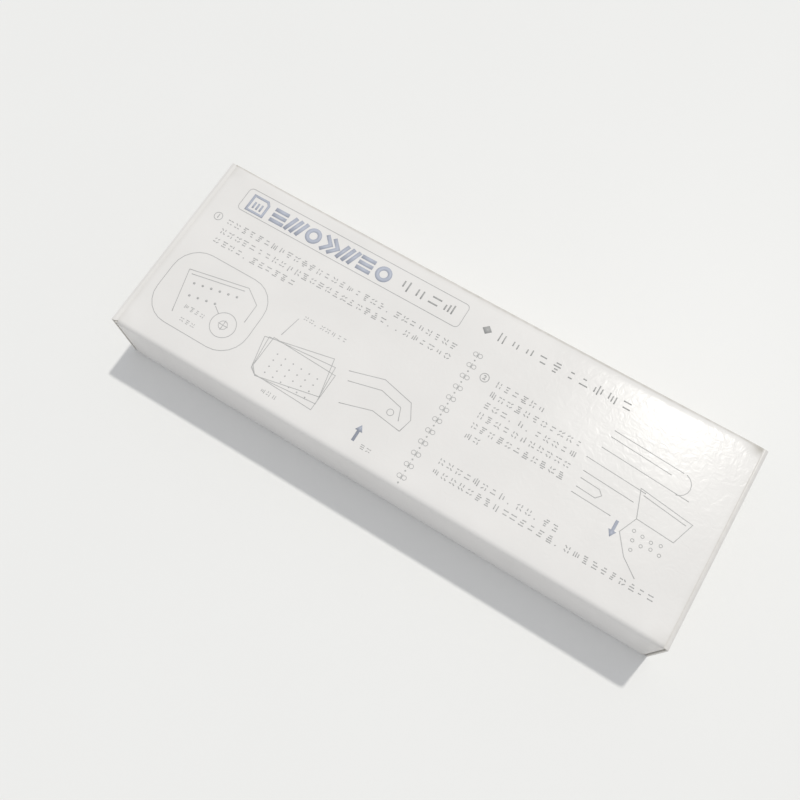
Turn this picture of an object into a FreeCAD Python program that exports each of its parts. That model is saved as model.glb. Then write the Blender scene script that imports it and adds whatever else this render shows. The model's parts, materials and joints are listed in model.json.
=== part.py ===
"""A hand card punch lying in its folded paperboard carton, as a parametric document.

Frame: +X along the carton, +Y to its far long side, +Z up, from the centre of the carton's bottom.
The punch lies on its side: its nose points to +X, its top edge to +Y, and its thickness runs along Z.
"""

import FreeCAD, Part
import math
import os
import re

import Sketcher
from FreeCAD import Placement, Rotation, Vector

# Driving sizes, in millimetres and degrees: (alias, value).
SIZES = [
    # Carton
    ("carton_length", 200.0),
    ("carton_width", 69.5),
    ("carton_height", 27.0),
    ("board", 0.5),
    ("fold_radius", 1.6),
    ("crease_gap", 0.05),
    ("top_left_margin", 2.7),
    ("top_right_margin", 1.8),
    ("top_corner", 1.3),
    ("lap_width", 14.0),
    ("lap_margin", 4.0),
    ("flap_side_gap", 1.25),
    ("flap_top_drop", 0.45),
    ("flap_crease_radius", 1.2),
    ("flap_foot_round", 0.2),
    ("tongue_length", 10.0),
    ("tongue_droop", 13.0),
    ("tongue_corner", 5.0),
    ("dust_gap", 0.1),
    ("dust_length", 17.0),
    ("dust_foot", 1.6),
    ("dust_slope", 0.7),
    ("dust_top_gap", 5.0),
    ("dust_top_fall", 2.0),
    ("dust_corner", 2.0),
    # Frame of the punch
    ("seat_gap", 0.3),
    ("top_room", 3.7),
    ("tail_room", 3.0),
    ("nose_room", 12.0),
    ("plates_inner_half", 3.5),
    ("plate", 1.5),
    ("cover_wall", 1.0),
    ("jaw_round", 3.0),
    ("throat_depth", 84.0),
    ("throat_round", 2.4),
    ("throat_heel", 24.0),
    ("table_top", 1.0),
    ("table_sheet", 1.0),
    ("jaw_floor", 6.0),
    ("jaw_bottom", -7.0),
    ("jaw_top", 16.0),
    ("frame_top", 25.0),
    ("neck_top", 22.0),
    ("fit", 0.05),
    ("gap", 0.3),
    # Nose
    ("punch_back", 14.0),
    ("guide_ahead", 6.5),
    ("nose_block_back", 5.0),
    ("punch_radius", 1.8),
    ("head_radius", 3.4),
    ("head_thickness", 1.0),
    ("punch_tip", 3.4),
    ("head_top", 12.95),
    ("guide_radius", 0.6),
    ("guide_tip", 0.4),
    ("guide_top", 14.2),
    ("stop_bottom", 6.8),
    ("stop_top", 7.9),
    ("stripper", 3.2),
    ("bridge_bottom", 12.2),
    ("bridge_top", 13.2),
    ("coil_wire", 0.3),
    ("guide_coil_radius", 1.3),
    ("die_bore", 1.85),
    ("bush_radius", 3.0),
    ("bush_height", 3.0),
    ("chute_radius", 2.4),
    # Rocker and lever
    ("rocker_half", 2.5),
    ("pivot_back", 20.0),
    ("pivot_y", 13.5),
    ("axle_radius", 2.5),
    ("rocker_hole_radius", 1.5),
    ("rocker_hole_pitch", 8.0),
    ("rocker_boss_round", 5.0),
    ("rocker_lift_gap", 0.25),
    ("finger_bottom", 2.2),
    ("lever_ahead", 9.0),
    ("lever_y", 8.0),
    ("lever_length", 72.0),
    ("lever_pin_radius", 2.0),
    ("lever_boss", 5.0),
    ("lever_sheet", 1.2),
    ("lever_angle", 10.0),
    ("lever_end_y", -9.5),
    ("lever_start_y", 1.0),
    ("lever_depth", 7.0),
    ("grip_wall", 1.45),
    ("grip_ahead", 18.0),
    ("roller_ahead", 12.0),
    ("roller_y", 0.0),
    ("roller_radius", 2.0),
    ("roller_pin_radius", 1.0),
    ("leaf", 0.6),
    ("leaf_half", 2.5),
    ("leaf_clip", 6.0),
    ("leaf_flat", 10.0),
    ("leaf_seat", 32.0),
    ("leaf_overhang", 0.4),
    ("leaf_tip_y", 7.4),
    # Housing
    ("shell_wall", 1.8),
    ("shell_round", 4.0),
    ("shell_window", 6.0),
    ("shell_to_throat", 4.0),
    ("shell_lip", 1.5),
    ("shell_back_rise", 2.5),
    ("shell_front_rise", 1.9),
    ("rib_round", 1.2),
    ("screw_radius", 1.5),
    ("screw_head_radius", 2.9),
    ("screw_head", 1.4),
    ("screw_sink", 0.2),
    ("post_radius", 2.5),
    ("post_thinner", 0.6),
    ("upper_post_step", 26.0),
    ("lower_post_first", 18.0),
    ("lower_post_step", 22.0),
    ("lower_post_y", -3.4),
    ("leaf_seat_y", 4.6),
    ("front_screw_y", -1.8),
    ("rivet_radius", 1.0),
    ("boss_radius", 3.2),
    # Chip case
    ("case_pin_back", 4.0),
    ("case_arm", 6.0),
    ("case_length", 28.0),
    ("case_top", -7.3),
    ("case_depth", 8.2),
    ("case_wall", 1.0),
    ("case_half", 5.0),
    ("case_tab", 4.0),
    ("case_pin_y", -9.6),
    ("case_pin_radius", 1.0),
    ("ear_radius", 2.4),
    ("case_eye_radius", 2.1),
]

# Places that follow from the driving sizes.
PLACES = {
    "half_length": "carton_length / 2",
    "half_width": "carton_width / 2",
    "inner_half_width": "half_width - board",
    "floor_end": "half_length - board - crease_gap",
    "dust_x": "half_length - board - dust_gap - board / 2",
    "dust_y": "half_width - board / 2",
    "wall_end": "dust_x - board / 2 - crease_gap",
    "flap_top": "carton_height - flap_top_drop",
    "flap_half_width": "half_width - flap_side_gap",
    "dust_top": "carton_height - dust_top_gap",
    "tail_x": "-half_length + tail_room",
    "nose_x": "half_length - nose_room",
    "throat_back": "nose_x - throat_depth",
    "pivot_x": "throat_back - pivot_back",
    "punch_x": "nose_x - punch_back",
    "guide_x": "punch_x + guide_ahead",
    "lever_x": "tail_x + lever_ahead",
    "lever_end_x": "lever_x + lever_length",
    "roller_x": "lever_x + roller_ahead",
    "grip_start_x": "lever_x + grip_ahead",
    "leaf_seat_x": "lever_x + leaf_seat",
    "leaf_clip_x": "lever_end_x - leaf_clip",
    "leaf_bend_x": "leaf_clip_x - leaf_flat",
    "leaf_tip_x": "leaf_seat_x - leaf_overhang",
    "upper_post_y": "jaw_floor + post_radius - post_thinner + 2 * fit",
    "shell_window_x": "leaf_seat_x + shell_window",
    "shell_front": "throat_back - shell_to_throat",
    "case_pin_x": "nose_x - case_pin_back",
    "case_front": "case_pin_x - case_arm",
    "case_rear": "case_front - case_length",
    "housing_half": "(carton_height - 2 * board - seat_gap - top_room) / 2",
    "punch_z": "board + seat_gap + housing_half",
    "plates_half": "plates_inner_half + plate",
    "cover_half": "plates_half + cover_wall",
    "shell_inner": "housing_half - shell_wall",
    "lever_inner": "plates_half + gap",
    "lever_half": "lever_inner + lever_sheet",
    "plate_front": "nose_x - cover_wall - gap",
    "nose_start": "punch_x - nose_block_back",
    "case_bottom": "case_top - case_depth",
    "case_inner": "case_half - case_wall",
    "spine_bottom": "lever_start_y + gap + fit",
}

doc = FreeCAD.newDocument("card_punch")
sheet = doc.addObject("Spreadsheet::Sheet", "Sizes")
for row, (alias, value) in enumerate(SIZES, start=1):
    sheet.set(f"A{row}", alias)
    sheet.set(f"B{row}", str(value))
    sheet.setAlias(f"B{row}", alias)
doc.recompute()

ALIASES = {alias for alias, _ in SIZES}
WORD = re.compile(r"[a-z_]+")


def expression(text):
    """Writes a formula of size and place names as an expression on the sheet."""

    def replace(match):
        word = match.group(0)
        if word in PLACES:
            return f"({expression(PLACES[word])})"
        return f"Sizes.{word}" if word in ALIASES else word

    return WORD.sub(replace, str(text))


def size(text):
    """The value of a formula of size and place names, in millimetres or degrees."""
    value = sheet.evalExpression(expression(text))
    return float(getattr(value, "Value", value))


# Primitives and booleans


def place(item, along, x="0", y="0", z="0"):
    """Sets an object's corner or base, and turns a round one's axis along X, Y or Z."""
    turns = {
        "X": Rotation(Vector(0, 1, 0), 90),
        "Y": Rotation(Vector(1, 0, 0), -90),
        "Z": Rotation(),
    }
    item.Placement = Placement(Vector(), turns[along])
    for axis, text in zip("xyz", (x, y, z)):
        item.setExpression(f"Placement.Base.{axis}", expression(text))
    return item


def box(name, low, high):
    """A box between two corners, each three formulas."""
    item = doc.addObject("Part::Box", name)
    for key, a, b in zip(("Length", "Width", "Height"), low, high):
        item.setExpression(key, expression(f"({b}) - ({a})"))
    return place(item, "Z", *low)


def cylinder(name, along, base, length, radius):
    """A cylinder from a base point along an axis."""
    item = doc.addObject("Part::Cylinder", name)
    item.setExpression("Radius", expression(radius))
    item.setExpression("Height", expression(length))
    return place(item, along, *base)


def cone(name, along, base, length, radius_from, radius_to):
    """A cone or taper from a base point along an axis."""
    item = doc.addObject("Part::Cone", name)
    item.setExpression("Radius1", expression(radius_from))
    item.setExpression("Radius2", expression(radius_to))
    item.setExpression("Height", expression(length))
    return place(item, along, *base)


def fuse(name, *items):
    """All the items as one shape."""
    item = doc.addObject("Part::MultiFuse", name)
    item.Shapes = list(items)
    item.Refine = True
    return item


def cut(name, base, *tools):
    """The base without the tools."""
    for count, tool in enumerate(tools):
        item = doc.addObject("Part::Cut", name if tool is tools[-1] else f"{name}_cut{count}")
        item.Base = base
        item.Tool = tool
        base = item
    return base


def common(name, base, tool):
    """What two items share."""
    item = doc.addObject("Part::MultiCommon", name)
    item.Shapes = [base, tool]
    return item


def group(name, items):
    """Separate solids kept together in one node."""
    item = doc.addObject("Part::Compound", name)
    item.Links = list(items)
    return item


def edges_where(item, test):
    """The numbers of an item's straight edges whose direction and middle pass a test."""
    doc.recompute()
    found = []
    for number, edge in enumerate(item.Shape.Edges, start=1):
        if isinstance(edge.Curve, Part.Line):
            middle = edge.valueAt((edge.FirstParameter + edge.LastParameter) / 2)
            if test(edge.tangentAt(edge.FirstParameter), middle):
                found.append(number)
    if not found:
        raise ValueError(f"no edge of {item.Label} to round")
    return found


def rounded(name, item, radius, test):
    """An item with the edges that pass a test rounded."""
    found = edges_where(item, test)
    item_round = doc.addObject("Part::Fillet", name)
    item_round.Base = item
    item_round.Edges = [(number, size(radius), size(radius)) for number in found]
    return item_round


def along_x(direction, _middle):
    """True for an edge along X."""
    return abs(direction.x) > 0.999


def along_z(direction, _middle):
    """True for an edge along Z."""
    return abs(direction.z) > 0.999


# Bodies of sketched features


def new_body(label):
    """An empty body with a label of its own."""
    body = doc.addObject("PartDesign::Body", label)
    body.Label = label
    return body


def new_sketch(body, name, role, lift):
    """A sketch on one of the body's own planes, lifted along the plane's normal."""
    sketch = body.newObject("Sketcher::SketchObject", name)
    plane = next(o for o in body.Origin.OriginFeatures if o.Role == role)
    sketch.AttachmentSupport = (plane, [""])
    sketch.MapMode = "FlatFace"
    sketch.setExpression("AttachmentOffset.Base.z", expression(lift))
    return sketch


def draw_outline(sketch, corners):
    """Draws a closed outline of straight sides, each corner held by two formulas."""
    points = [Vector(size(x), size(y), 0) for x, y in corners]
    first = sketch.GeometryCount
    count = len(points)
    for i, point in enumerate(points):
        sketch.addGeometry(Part.LineSegment(point, points[(i + 1) % count]), False)
    for i in range(count):
        here, following = first + i, first + (i + 1) % count
        sketch.addConstraint(Sketcher.Constraint("Coincident", here, 2, following, 1))
    for i, (x, y) in enumerate(corners):
        for kind, text, value in (("DistanceX", x, points[i].x), ("DistanceY", y, points[i].y)):
            number = sketch.addConstraint(Sketcher.Constraint(kind, -1, 1, first + i, 1, value))
            sketch.setExpression(f"Constraints[{number}]", expression(text))


def draw_circle(sketch, x, y, radius):
    """Draws a circle held by its centre and radius."""
    centre = Vector(size(x), size(y), 0)
    here = sketch.addGeometry(Part.Circle(centre, Vector(0, 0, 1), size(radius)), False)
    for kind, text, value in (("DistanceX", x, centre.x), ("DistanceY", y, centre.y)):
        number = sketch.addConstraint(Sketcher.Constraint(kind, -1, 1, here, 3, value))
        sketch.setExpression(f"Constraints[{number}]", expression(text))
    number = sketch.addConstraint(Sketcher.Constraint("Radius", here, size(radius)))
    sketch.setExpression(f"Constraints[{number}]", expression(radius))


def pad(body, name, role, low, high, outlines=(), circles=()):
    """Pads outlines and circles between two heights over a plane of the body."""
    sketch = new_sketch(body, f"{name}_sketch", role, low)
    for corners in outlines:
        draw_outline(sketch, corners)
    for x, y, radius in circles:
        draw_circle(sketch, x, y, radius)
    feature = body.newObject("PartDesign::Pad", name)
    feature.Profile = sketch
    feature.setExpression("Length", expression(f"({high}) - ({low})"))
    doc.recompute()
    return feature


def pocket(body, name, role, low, high, outlines=(), circles=()):
    """Cuts outlines and circles between two heights over a plane, and makes sure something went."""
    before = body.Shape.Volume
    sketch = new_sketch(body, f"{name}_sketch", role, high)
    for corners in outlines:
        draw_outline(sketch, corners)
    for x, y, radius in circles:
        draw_circle(sketch, x, y, radius)
    feature = body.newObject("PartDesign::Pocket", name)
    feature.Profile = sketch
    feature.setExpression("Length", expression(f"({high}) - ({low})"))
    doc.recompute()
    if not body.Shape.Volume < before - 1e-6:
        raise ValueError(f"{name} cuts nothing")
    return feature


def soften(body, name, radius, test):
    """Rounds the body's edges that pass a test."""
    base, found = body.Tip, edges_where(body, test)
    feature = body.newObject("PartDesign::Fillet", name)
    feature.Base = (base, [f"Edge{number}" for number in found])
    feature.setExpression("Radius", expression(radius))
    doc.recompute()
    return feature


def about_punch(low, high):
    """Two heights given from the punch's middle plane."""
    return f"punch_z + ({low})", f"punch_z + ({high})"


def rectangle(x_from, x_to, y_from, y_to):
    """The corners of a rectangle between formulas."""
    return [(x_from, y_from), (x_to, y_from), (x_to, y_to), (x_from, y_to)]


def near(x, y, radius=1.5):
    """A test for an edge along Z that stands near a place, given as formulas."""
    px, py, reach = size(x), size(y), radius

    def test(direction, middle):
        return abs(direction.z) > 0.999 and math.hypot(middle.x - px, middle.y - py) < reach

    return test


# Carton


def carton_sleeve():
    """The four-sided tube with its cut ends and the lap glued inside its far wall."""
    outer = box(
        "sleeve_outer",
        ("-floor_end", "-half_width", "0"),
        ("floor_end", "half_width", "carton_height"),
    )
    outer = rounded("sleeve_outer_round", outer, "fold_radius", along_x)
    inner = box(
        "sleeve_inner",
        ("-half_length", "-inner_half_width", "board"),
        ("half_length", "inner_half_width", "carton_height - board"),
    )
    inner = rounded("sleeve_inner_round", inner, "fold_radius - board", along_x)
    tube = cut("sleeve_tube", outer, inner)
    floor_part = box(
        "sleeve_floor_part",
        ("-floor_end", "-half_width", "0"),
        ("floor_end", "half_width", "fold_radius"),
    )
    wall_part = box(
        "sleeve_wall_part",
        ("-wall_end", "-half_width", "fold_radius"),
        ("wall_end", "half_width", "carton_height - fold_radius"),
    )
    top_part = box(
        "sleeve_top_part",
        ("-half_length + top_left_margin", "-half_width", "carton_height - fold_radius"),
        ("half_length - top_right_margin", "half_width", "carton_height"),
    )
    top_part = rounded("sleeve_top_corners", top_part, "top_corner", along_z)
    kept = fuse("sleeve_kept", floor_part, wall_part, top_part)
    tube = common("sleeve_trimmed", tube, kept)
    lap = box(
        "sleeve_lap",
        ("-wall_end + lap_margin", "inner_half_width - board", "fold_radius"),
        ("wall_end - lap_margin", "inner_half_width", "fold_radius + lap_width"),
    )
    return fuse("carton_sleeve", tube, lap)


def end_flap(label, side):
    """The end panel with its drooping tongue; side is 1 at the nose's end and -1 at the tail's."""
    body = new_body(f"{label}_sheet_body")
    drop = "(tongue_length * sin(tongue_droop * 1deg))"
    reach = "(tongue_length * cos(tongue_droop * 1deg))"
    # The tongue's upper corner lies where the crease's round meets both straight sides.
    lean = "(tan(tongue_droop * 1deg))"
    corner_top = f"flap_top + flap_crease_radius * {lean}"
    corner_under = f"{corner_top} - board / cos(tongue_droop * 1deg) - board * {lean}"
    outline = [
        (f"{side} * half_length", "0"),
        (f"{side} * half_length", corner_top),
        (f"{side} * (half_length - {reach})", f"{corner_top} - {drop}"),
        (
            f"{side} * (half_length - {reach} - board * sin(tongue_droop * 1deg))",
            f"{corner_top} - {drop} - board * cos(tongue_droop * 1deg)",
        ),
        (f"{side} * (half_length - board)", corner_under),
        (f"{side} * (half_length - board)", "0"),
    ]
    pad(body, f"{label}_sheet", "XZ_Plane", "-flap_half_width", "flap_half_width", [outline])
    outer_x, inner_x = side * size("half_length"), side * size("half_length - board")
    top_z, under_z = size(corner_top), size(corner_under)

    def upper_crease(direction, middle):
        return abs(direction.y) > 0.999 and math.hypot(middle.x - outer_x, middle.z - top_z) < 0.01

    def under_crease(direction, middle):
        return abs(direction.y) > 0.999 and math.hypot(middle.x - inner_x, middle.z - under_z) < 0.01

    def foot(direction, middle):
        return abs(direction.y) > 0.999 and middle.z < 0.01

    soften(body, f"{label}_crease", "flap_crease_radius", upper_crease)
    soften(body, f"{label}_under_crease", "flap_crease_radius - board", under_crease)
    soften(body, f"{label}_foot", "flap_foot_round", foot)
    tip, outside = f"{side} * (half_length - {reach}) - {side} * board / 2", f"{side} * (half_length + board)"
    x_low, x_high = (tip, outside) if side > 0 else (outside, tip)
    blank = box(
        f"{label}_blank",
        (x_low, "-flap_half_width", "-board"),
        (x_high, "flap_half_width", "carton_height"),
    )
    tip_x = size(tip)
    blank = rounded(
        f"{label}_blank_round",
        blank,
        "tongue_corner",
        lambda direction, middle: abs(direction.z) > 0.999 and abs(middle.x - tip_x) < 0.01,
    )
    return common(label, body, blank)


def dust_flap(label, side, wall):
    """A small inner flap hinged on a side wall; wall is 1 for the far wall and -1 for the near one."""
    body = new_body(label)
    tip = f"{wall} * (dust_y - dust_length)"
    outline = [
        (f"{wall} * (dust_y + board / 2)", "dust_foot"),
        (tip, "dust_foot + dust_slope * dust_length"),
        (tip, "dust_top - dust_top_fall"),
        (f"{wall} * (dust_y + board / 2)", "dust_top"),
    ]
    middle = f"{side} * dust_x"
    pad(body, f"{label}_sheet", "YZ_Plane", f"{middle} - board / 2", f"{middle} + board / 2", [outline])
    tip_y = size(tip)

    def tip_corners(direction, centre):
        return abs(direction.x) > 0.999 and abs(centre.y - tip_y) < 0.01

    def hinge_edges(direction, centre):
        return abs(direction.z) > 0.999 and abs(centre.y - tip_y) > 1

    soften(body, f"{label}_corners", "dust_corner", tip_corners)
    soften(body, f"{label}_crease", "flap_foot_round", hinge_edges)
    return body


# Frame of the punch

FRAME_OUTLINE = [
    ("plate_front", "jaw_floor"),
    ("plate_front", "jaw_top - 3 * cover_wall"),
    ("plate_front - 5", "jaw_top"),
    ("pivot_x", "neck_top"),
    ("lever_x - 2", "frame_top"),
    ("lever_x - 6", "frame_top - 4"),
    ("lever_x - 6", "lever_y - 1"),
    ("lever_x - 3", "lever_y - 3"),
    ("lever_x + 6", "lever_y - 3"),
    ("throat_back - throat_heel", "jaw_bottom"),
    ("case_pin_x - 2.2 * ear_radius", "jaw_bottom"),
    ("case_pin_x - ear_radius", "case_pin_y - ear_radius"),
    ("case_pin_x + ear_radius", "case_pin_y - ear_radius"),
    ("plate_front", "jaw_bottom"),
    ("plate_front", "table_top - table_sheet"),
    ("throat_back", "table_top - table_sheet"),
    ("throat_back", "jaw_floor"),
]

# Places of the screws and of the riveted posts.
SCREWS = [
    ("lever_x - 2", "frame_top - 4"),
    ("leaf_seat_x + leaf_clip + 2", "frame_top - 4"),
    ("leaf_seat_x", "leaf_seat_y"),
    ("shell_front - 9", "front_screw_y"),
]
UPPER_POSTS = [
    ("throat_back + upper_post_step", "upper_post_y"),
    ("throat_back + 2 * upper_post_step", "upper_post_y"),
]
LOWER_POSTS = [
    ("throat_back + lower_post_first", "lower_post_y"),
    ("throat_back + lower_post_first + lower_post_step", "lower_post_y"),
]
POSTS = UPPER_POSTS + LOWER_POSTS


def frame_plate(label, low, high):
    """One pressed side plate with its throat, its window and the holes for pins, posts and screws."""
    body = new_body(label)
    low, high = about_punch(low, high)
    pad(body, f"{label}_sheet", "XY_Plane", low, high, [FRAME_OUTLINE])
    holes = [
        ("pivot_x", "pivot_y", "axle_radius"),
        ("lever_x", "lever_y", "lever_pin_radius"),
        ("case_pin_x", "case_pin_y", "case_pin_radius"),
    ]
    holes += [(x, y, "screw_radius + fit") for x, y in SCREWS]
    holes += [(x, y, "rivet_radius") for x, y in POSTS]
    pocket(body, f"{label}_holes", "XY_Plane", low, high, circles=holes)
    window = [
        ("nose_start", "jaw_floor + 2"),
        ("guide_x + 2.5", "jaw_floor + 2"),
        ("guide_x + 2.5", "jaw_floor + 4.5"),
        ("punch_x + 1", "jaw_floor + 6"),
        ("nose_start", "jaw_floor + 4.5"),
    ]
    pocket(body, f"{label}_window", "XY_Plane", low, high, [window])
    for number, (x, y, radius) in enumerate(
        [
            ("throat_back", "jaw_floor", "throat_round"),
            ("throat_back", "table_top - table_sheet", "throat_round"),
            ("plate_front", "jaw_top - 3 * cover_wall", 2.0),
            ("lever_x - 2", "frame_top", 3.0),
            ("lever_x - 6", "frame_top - 4", 3.0),
            ("case_pin_x - ear_radius", "case_pin_y - ear_radius", 1.6),
            ("case_pin_x + ear_radius", "case_pin_y - ear_radius", 1.6),
            ("throat_back - throat_heel", "jaw_bottom", 8.0),
        ]
    ):
        soften(body, f"{label}_round{number}", radius, near(x, y, 0.05))
    return body


def frame_posts():
    """Shouldered posts between the plates, riveted in their holes."""
    posts = []
    for number, (x, y) in enumerate(POSTS):
        radius = "post_radius - post_thinner" if number < len(UPPER_POSTS) else "post_radius"
        shoulder = cylinder(
            f"post{number}_shoulder",
            "Z",
            (x, y, "punch_z - plates_inner_half"),
            "2 * plates_inner_half",
            radius,
        )
        base = (x, y, "punch_z - plates_half")
        shank = cylinder(f"post{number}_shank", "Z", base, "2 * plates_half", "rivet_radius")
        posts.append(fuse(f"post{number}", shoulder, shank))
    for number, (x, y) in enumerate(SCREWS):
        sleeve = cylinder(
            f"screw_sleeve{number}_out",
            "Z",
            (x, y, "punch_z - plates_inner_half"),
            "2 * plates_inner_half",
            "post_radius",
        )
        bore = cylinder(
            f"screw_sleeve{number}_bore",
            "Z",
            (x, y, "punch_z - plates_half"),
            "2 * plates_half",
            "screw_radius + fit",
        )
        posts.append(cut(f"screw_sleeve{number}", sleeve, bore))
    return group("frame_posts", posts)


def card_table():
    """The flat table that the card slides on."""
    body = new_body("card_table")
    low, high = about_punch("-cover_half", "cover_half")
    rear = "throat_back + throat_round + gap"
    outline = rectangle(rear, "nose_start", "table_top - table_sheet", "table_top")
    pad(body, "card_table_sheet", "XY_Plane", low, high, [outline])
    return body


def die_block():
    """The block under the punch: a flange level with the table and a stem between the plates."""
    body = new_body("die_block_body")
    low, high = about_punch("-plates_inner_half", "plates_inner_half")
    stem = rectangle("punch_x - 4.5", "plate_front", "table_top - 2 * bush_height", "table_top - table_sheet")
    pad(body, "die_stem", "XY_Plane", low, high, [stem])
    low, high = about_punch("-cover_half", "cover_half")
    flange = rectangle("nose_start", "nose_x", "table_top - table_sheet", "table_top")
    pad(body, "die_flange", "XY_Plane", low, high, [flange])
    seat = ("punch_x", "table_top - bush_height", "punch_z")
    under_punch = ("punch_x", "table_top - 3 * bush_height", "punch_z")
    under_pin = ("guide_x", "table_top - 3 * bush_height", "punch_z")
    bush_seat = cylinder("die_bush_seat", "Y", seat, "2 * bush_height", "bush_radius")
    chute = cylinder("die_chute", "Y", under_punch, "3 * bush_height", "chute_radius")
    pin_hole = cylinder("die_pin_hole", "Y", under_pin, "4 * bush_height", "guide_radius + 2 * fit")
    return cut("die_block", body, bush_seat, chute, pin_hole)


def die_bush():
    """The hardened ring that the punch shears into."""
    foot = ("punch_x", "table_top - bush_height", "punch_z")
    below = ("punch_x", "table_top - 2 * bush_height", "punch_z")
    ring = cylinder("die_bush_ring", "Y", foot, "bush_height", "bush_radius")
    bore = cylinder("die_bush_bore", "Y", below, "3 * bush_height", "die_bore")
    return cut("die_bush", ring, bore)


def nose_guide_block():
    """The block that strips the card and guides the punch and the guide pin."""
    foot = box(
        "nose_block_foot",
        ("nose_start", "stripper", "punch_z - plates_half"),
        ("plate_front", "jaw_floor", "punch_z + plates_half"),
    )
    stem = box(
        "nose_block_stem",
        ("nose_start", "jaw_floor", "punch_z - plates_inner_half"),
        ("plate_front", "jaw_floor + gap + fit", "punch_z + plates_inner_half"),
    )
    punch_hole = cylinder(
        "nose_block_punch_hole", "Y", ("punch_x", "0", "punch_z"), "2 * jaw_floor", "punch_radius + fit"
    )
    pin_hole = cylinder(
        "nose_block_pin_hole", "Y", ("guide_x", "0", "punch_z"), "2 * jaw_floor", "guide_radius + fit"
    )
    return cut("nose_guide_block", fuse("nose_block_solid", foot, stem), punch_hole, pin_hole)


def spring_bridge():
    """The small bar across the plates that the guide pin's spring pushes on."""
    bar = box(
        "spring_bridge_bar",
        ("guide_x - 1.3", "bridge_bottom", "punch_z - plates_inner_half"),
        ("plate_front - 1", "bridge_top", "punch_z + plates_inner_half"),
    )
    below = ("guide_x", "0", "punch_z")
    hole = cylinder("spring_bridge_hole", "Y", below, "2 * bridge_top", "guide_radius + fit")
    return cut("spring_bridge", bar, hole)


def upper_jaw_cover():
    """The pressed cover over the upper jaw, closed over its top and front, with a window on each side."""
    body = new_body("upper_jaw_cover")
    low, high = about_punch("-cover_half", "cover_half")
    top_rise = "cover_wall + gap"
    fall = "(neck_top - jaw_top) / (nose_x - pivot_x)"
    outer = [
        ("throat_back", "jaw_floor"),
        ("nose_x", "jaw_floor"),
        ("nose_x", "jaw_top - 2 * cover_wall"),
        ("nose_x - 6", f"jaw_top + {top_rise}"),
        ("throat_back", f"neck_top + {top_rise} - {fall} * (throat_back - pivot_x)"),
    ]
    pad(body, "jaw_cover_outer", "XY_Plane", low, high, [outer])
    soften(body, "jaw_cover_front", "jaw_round", near("nose_x", "jaw_top - 2 * cover_wall", 0.05))
    soften(body, "jaw_cover_brow", "jaw_round", near("nose_x - 6", f"jaw_top + {top_rise}", 0.05))
    low, high = about_punch("-plates_half", "plates_half")
    inner = [
        ("throat_back - 1", "jaw_floor - 1"),
        ("plate_front + gap", "jaw_floor - 1"),
        ("plate_front + gap", "jaw_top - 3 * cover_wall"),
        ("nose_x - 6.4", "jaw_top + gap"),
        ("throat_back - 1", f"neck_top + gap - {fall} * (throat_back - 1 - pivot_x)"),
    ]
    pocket(body, "jaw_cover_inner", "XY_Plane", low, high, [inner])
    low, high = about_punch("-cover_half - 1", "cover_half + 1")
    window = [
        ("punch_x - 6", "jaw_floor + 1.5"),
        ("guide_x + 3.2", "jaw_floor + 1.5"),
        ("guide_x + 3.2", "jaw_floor + 4.7"),
        ("punch_x + 1", "jaw_floor + 6.4"),
        ("punch_x - 6", "jaw_floor + 4.7"),
    ]
    pocket(body, "jaw_cover_window", "XY_Plane", low, high, [window])
    soften(body, "jaw_cover_window_round", 1.2, near("punch_x - 6", "jaw_floor + 1.5", 0.05))
    soften(body, "jaw_cover_window_end", 1.2, near("guide_x + 3.2", "jaw_floor + 1.5", 0.05))
    return body


# Rocker, punch and guide pin


def rocker_beam():
    """The long rocker between the plates, with its tail finger over the lever's roller."""
    body = new_body("rocker_beam")
    low, high = about_punch("-rocker_half", "rocker_half")
    under = "head_top + rocker_lift_gap"
    outline = [
        ("roller_x - 3.5", "finger_bottom"),
        ("roller_x + 3.5", "finger_bottom"),
        ("roller_x + 4.5", "pivot_y - 4"),
        ("pivot_x - 9", "pivot_y - 3"),
        ("pivot_x", "pivot_y - 5"),
        ("pivot_x + 9", "pivot_y - 3"),
        ("punch_x - 8", under),
        ("guide_x - 1.8", under),
        ("guide_x - 1.8", f"{under} + 1.6"),
        ("punch_x - 8", f"{under} + 2.2"),
        ("pivot_x + 9", "pivot_y + 4"),
        ("pivot_x", "pivot_y + 4.8"),
        ("pivot_x - 9", "pivot_y + 3.6"),
        ("roller_x - 3.5", "pivot_y + 1.5"),
    ]
    pad(body, "rocker_sheet", "XY_Plane", low, high, [outline])
    hole = [("pivot_x", "pivot_y", "axle_radius + fit")]
    lightening = [
        (f"pivot_x + {step} * rocker_hole_pitch", "pivot_y + rocker_hole_radius / 2", "rocker_hole_radius")
        for step in (2, 3, 4)
    ]
    pocket(body, "rocker_holes", "XY_Plane", low, high, circles=hole + lightening)
    soften(body, "rocker_tail_round", 2.0, near("roller_x - 3.5", "pivot_y + 1.5", 0.05))
    soften(body, "rocker_finger_round", 0.8, near("roller_x - 3.5", "finger_bottom", 0.05))
    soften(body, "rocker_boss_curve", "rocker_boss_round", near("pivot_x", "pivot_y - 5", 0.05))
    return body


def punch_plunger():
    """The punch with its sharp end down and its flat head up."""
    shank = cylinder(
        "plunger_shank", "Y", ("punch_x", "punch_tip", "punch_z"), "head_top - punch_tip", "punch_radius"
    )
    head = cylinder(
        "plunger_head",
        "Y",
        ("punch_x", "head_top - head_thickness", "punch_z"),
        "head_thickness",
        "head_radius",
    )
    return fuse("punch_plunger", shank, head)


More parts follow.
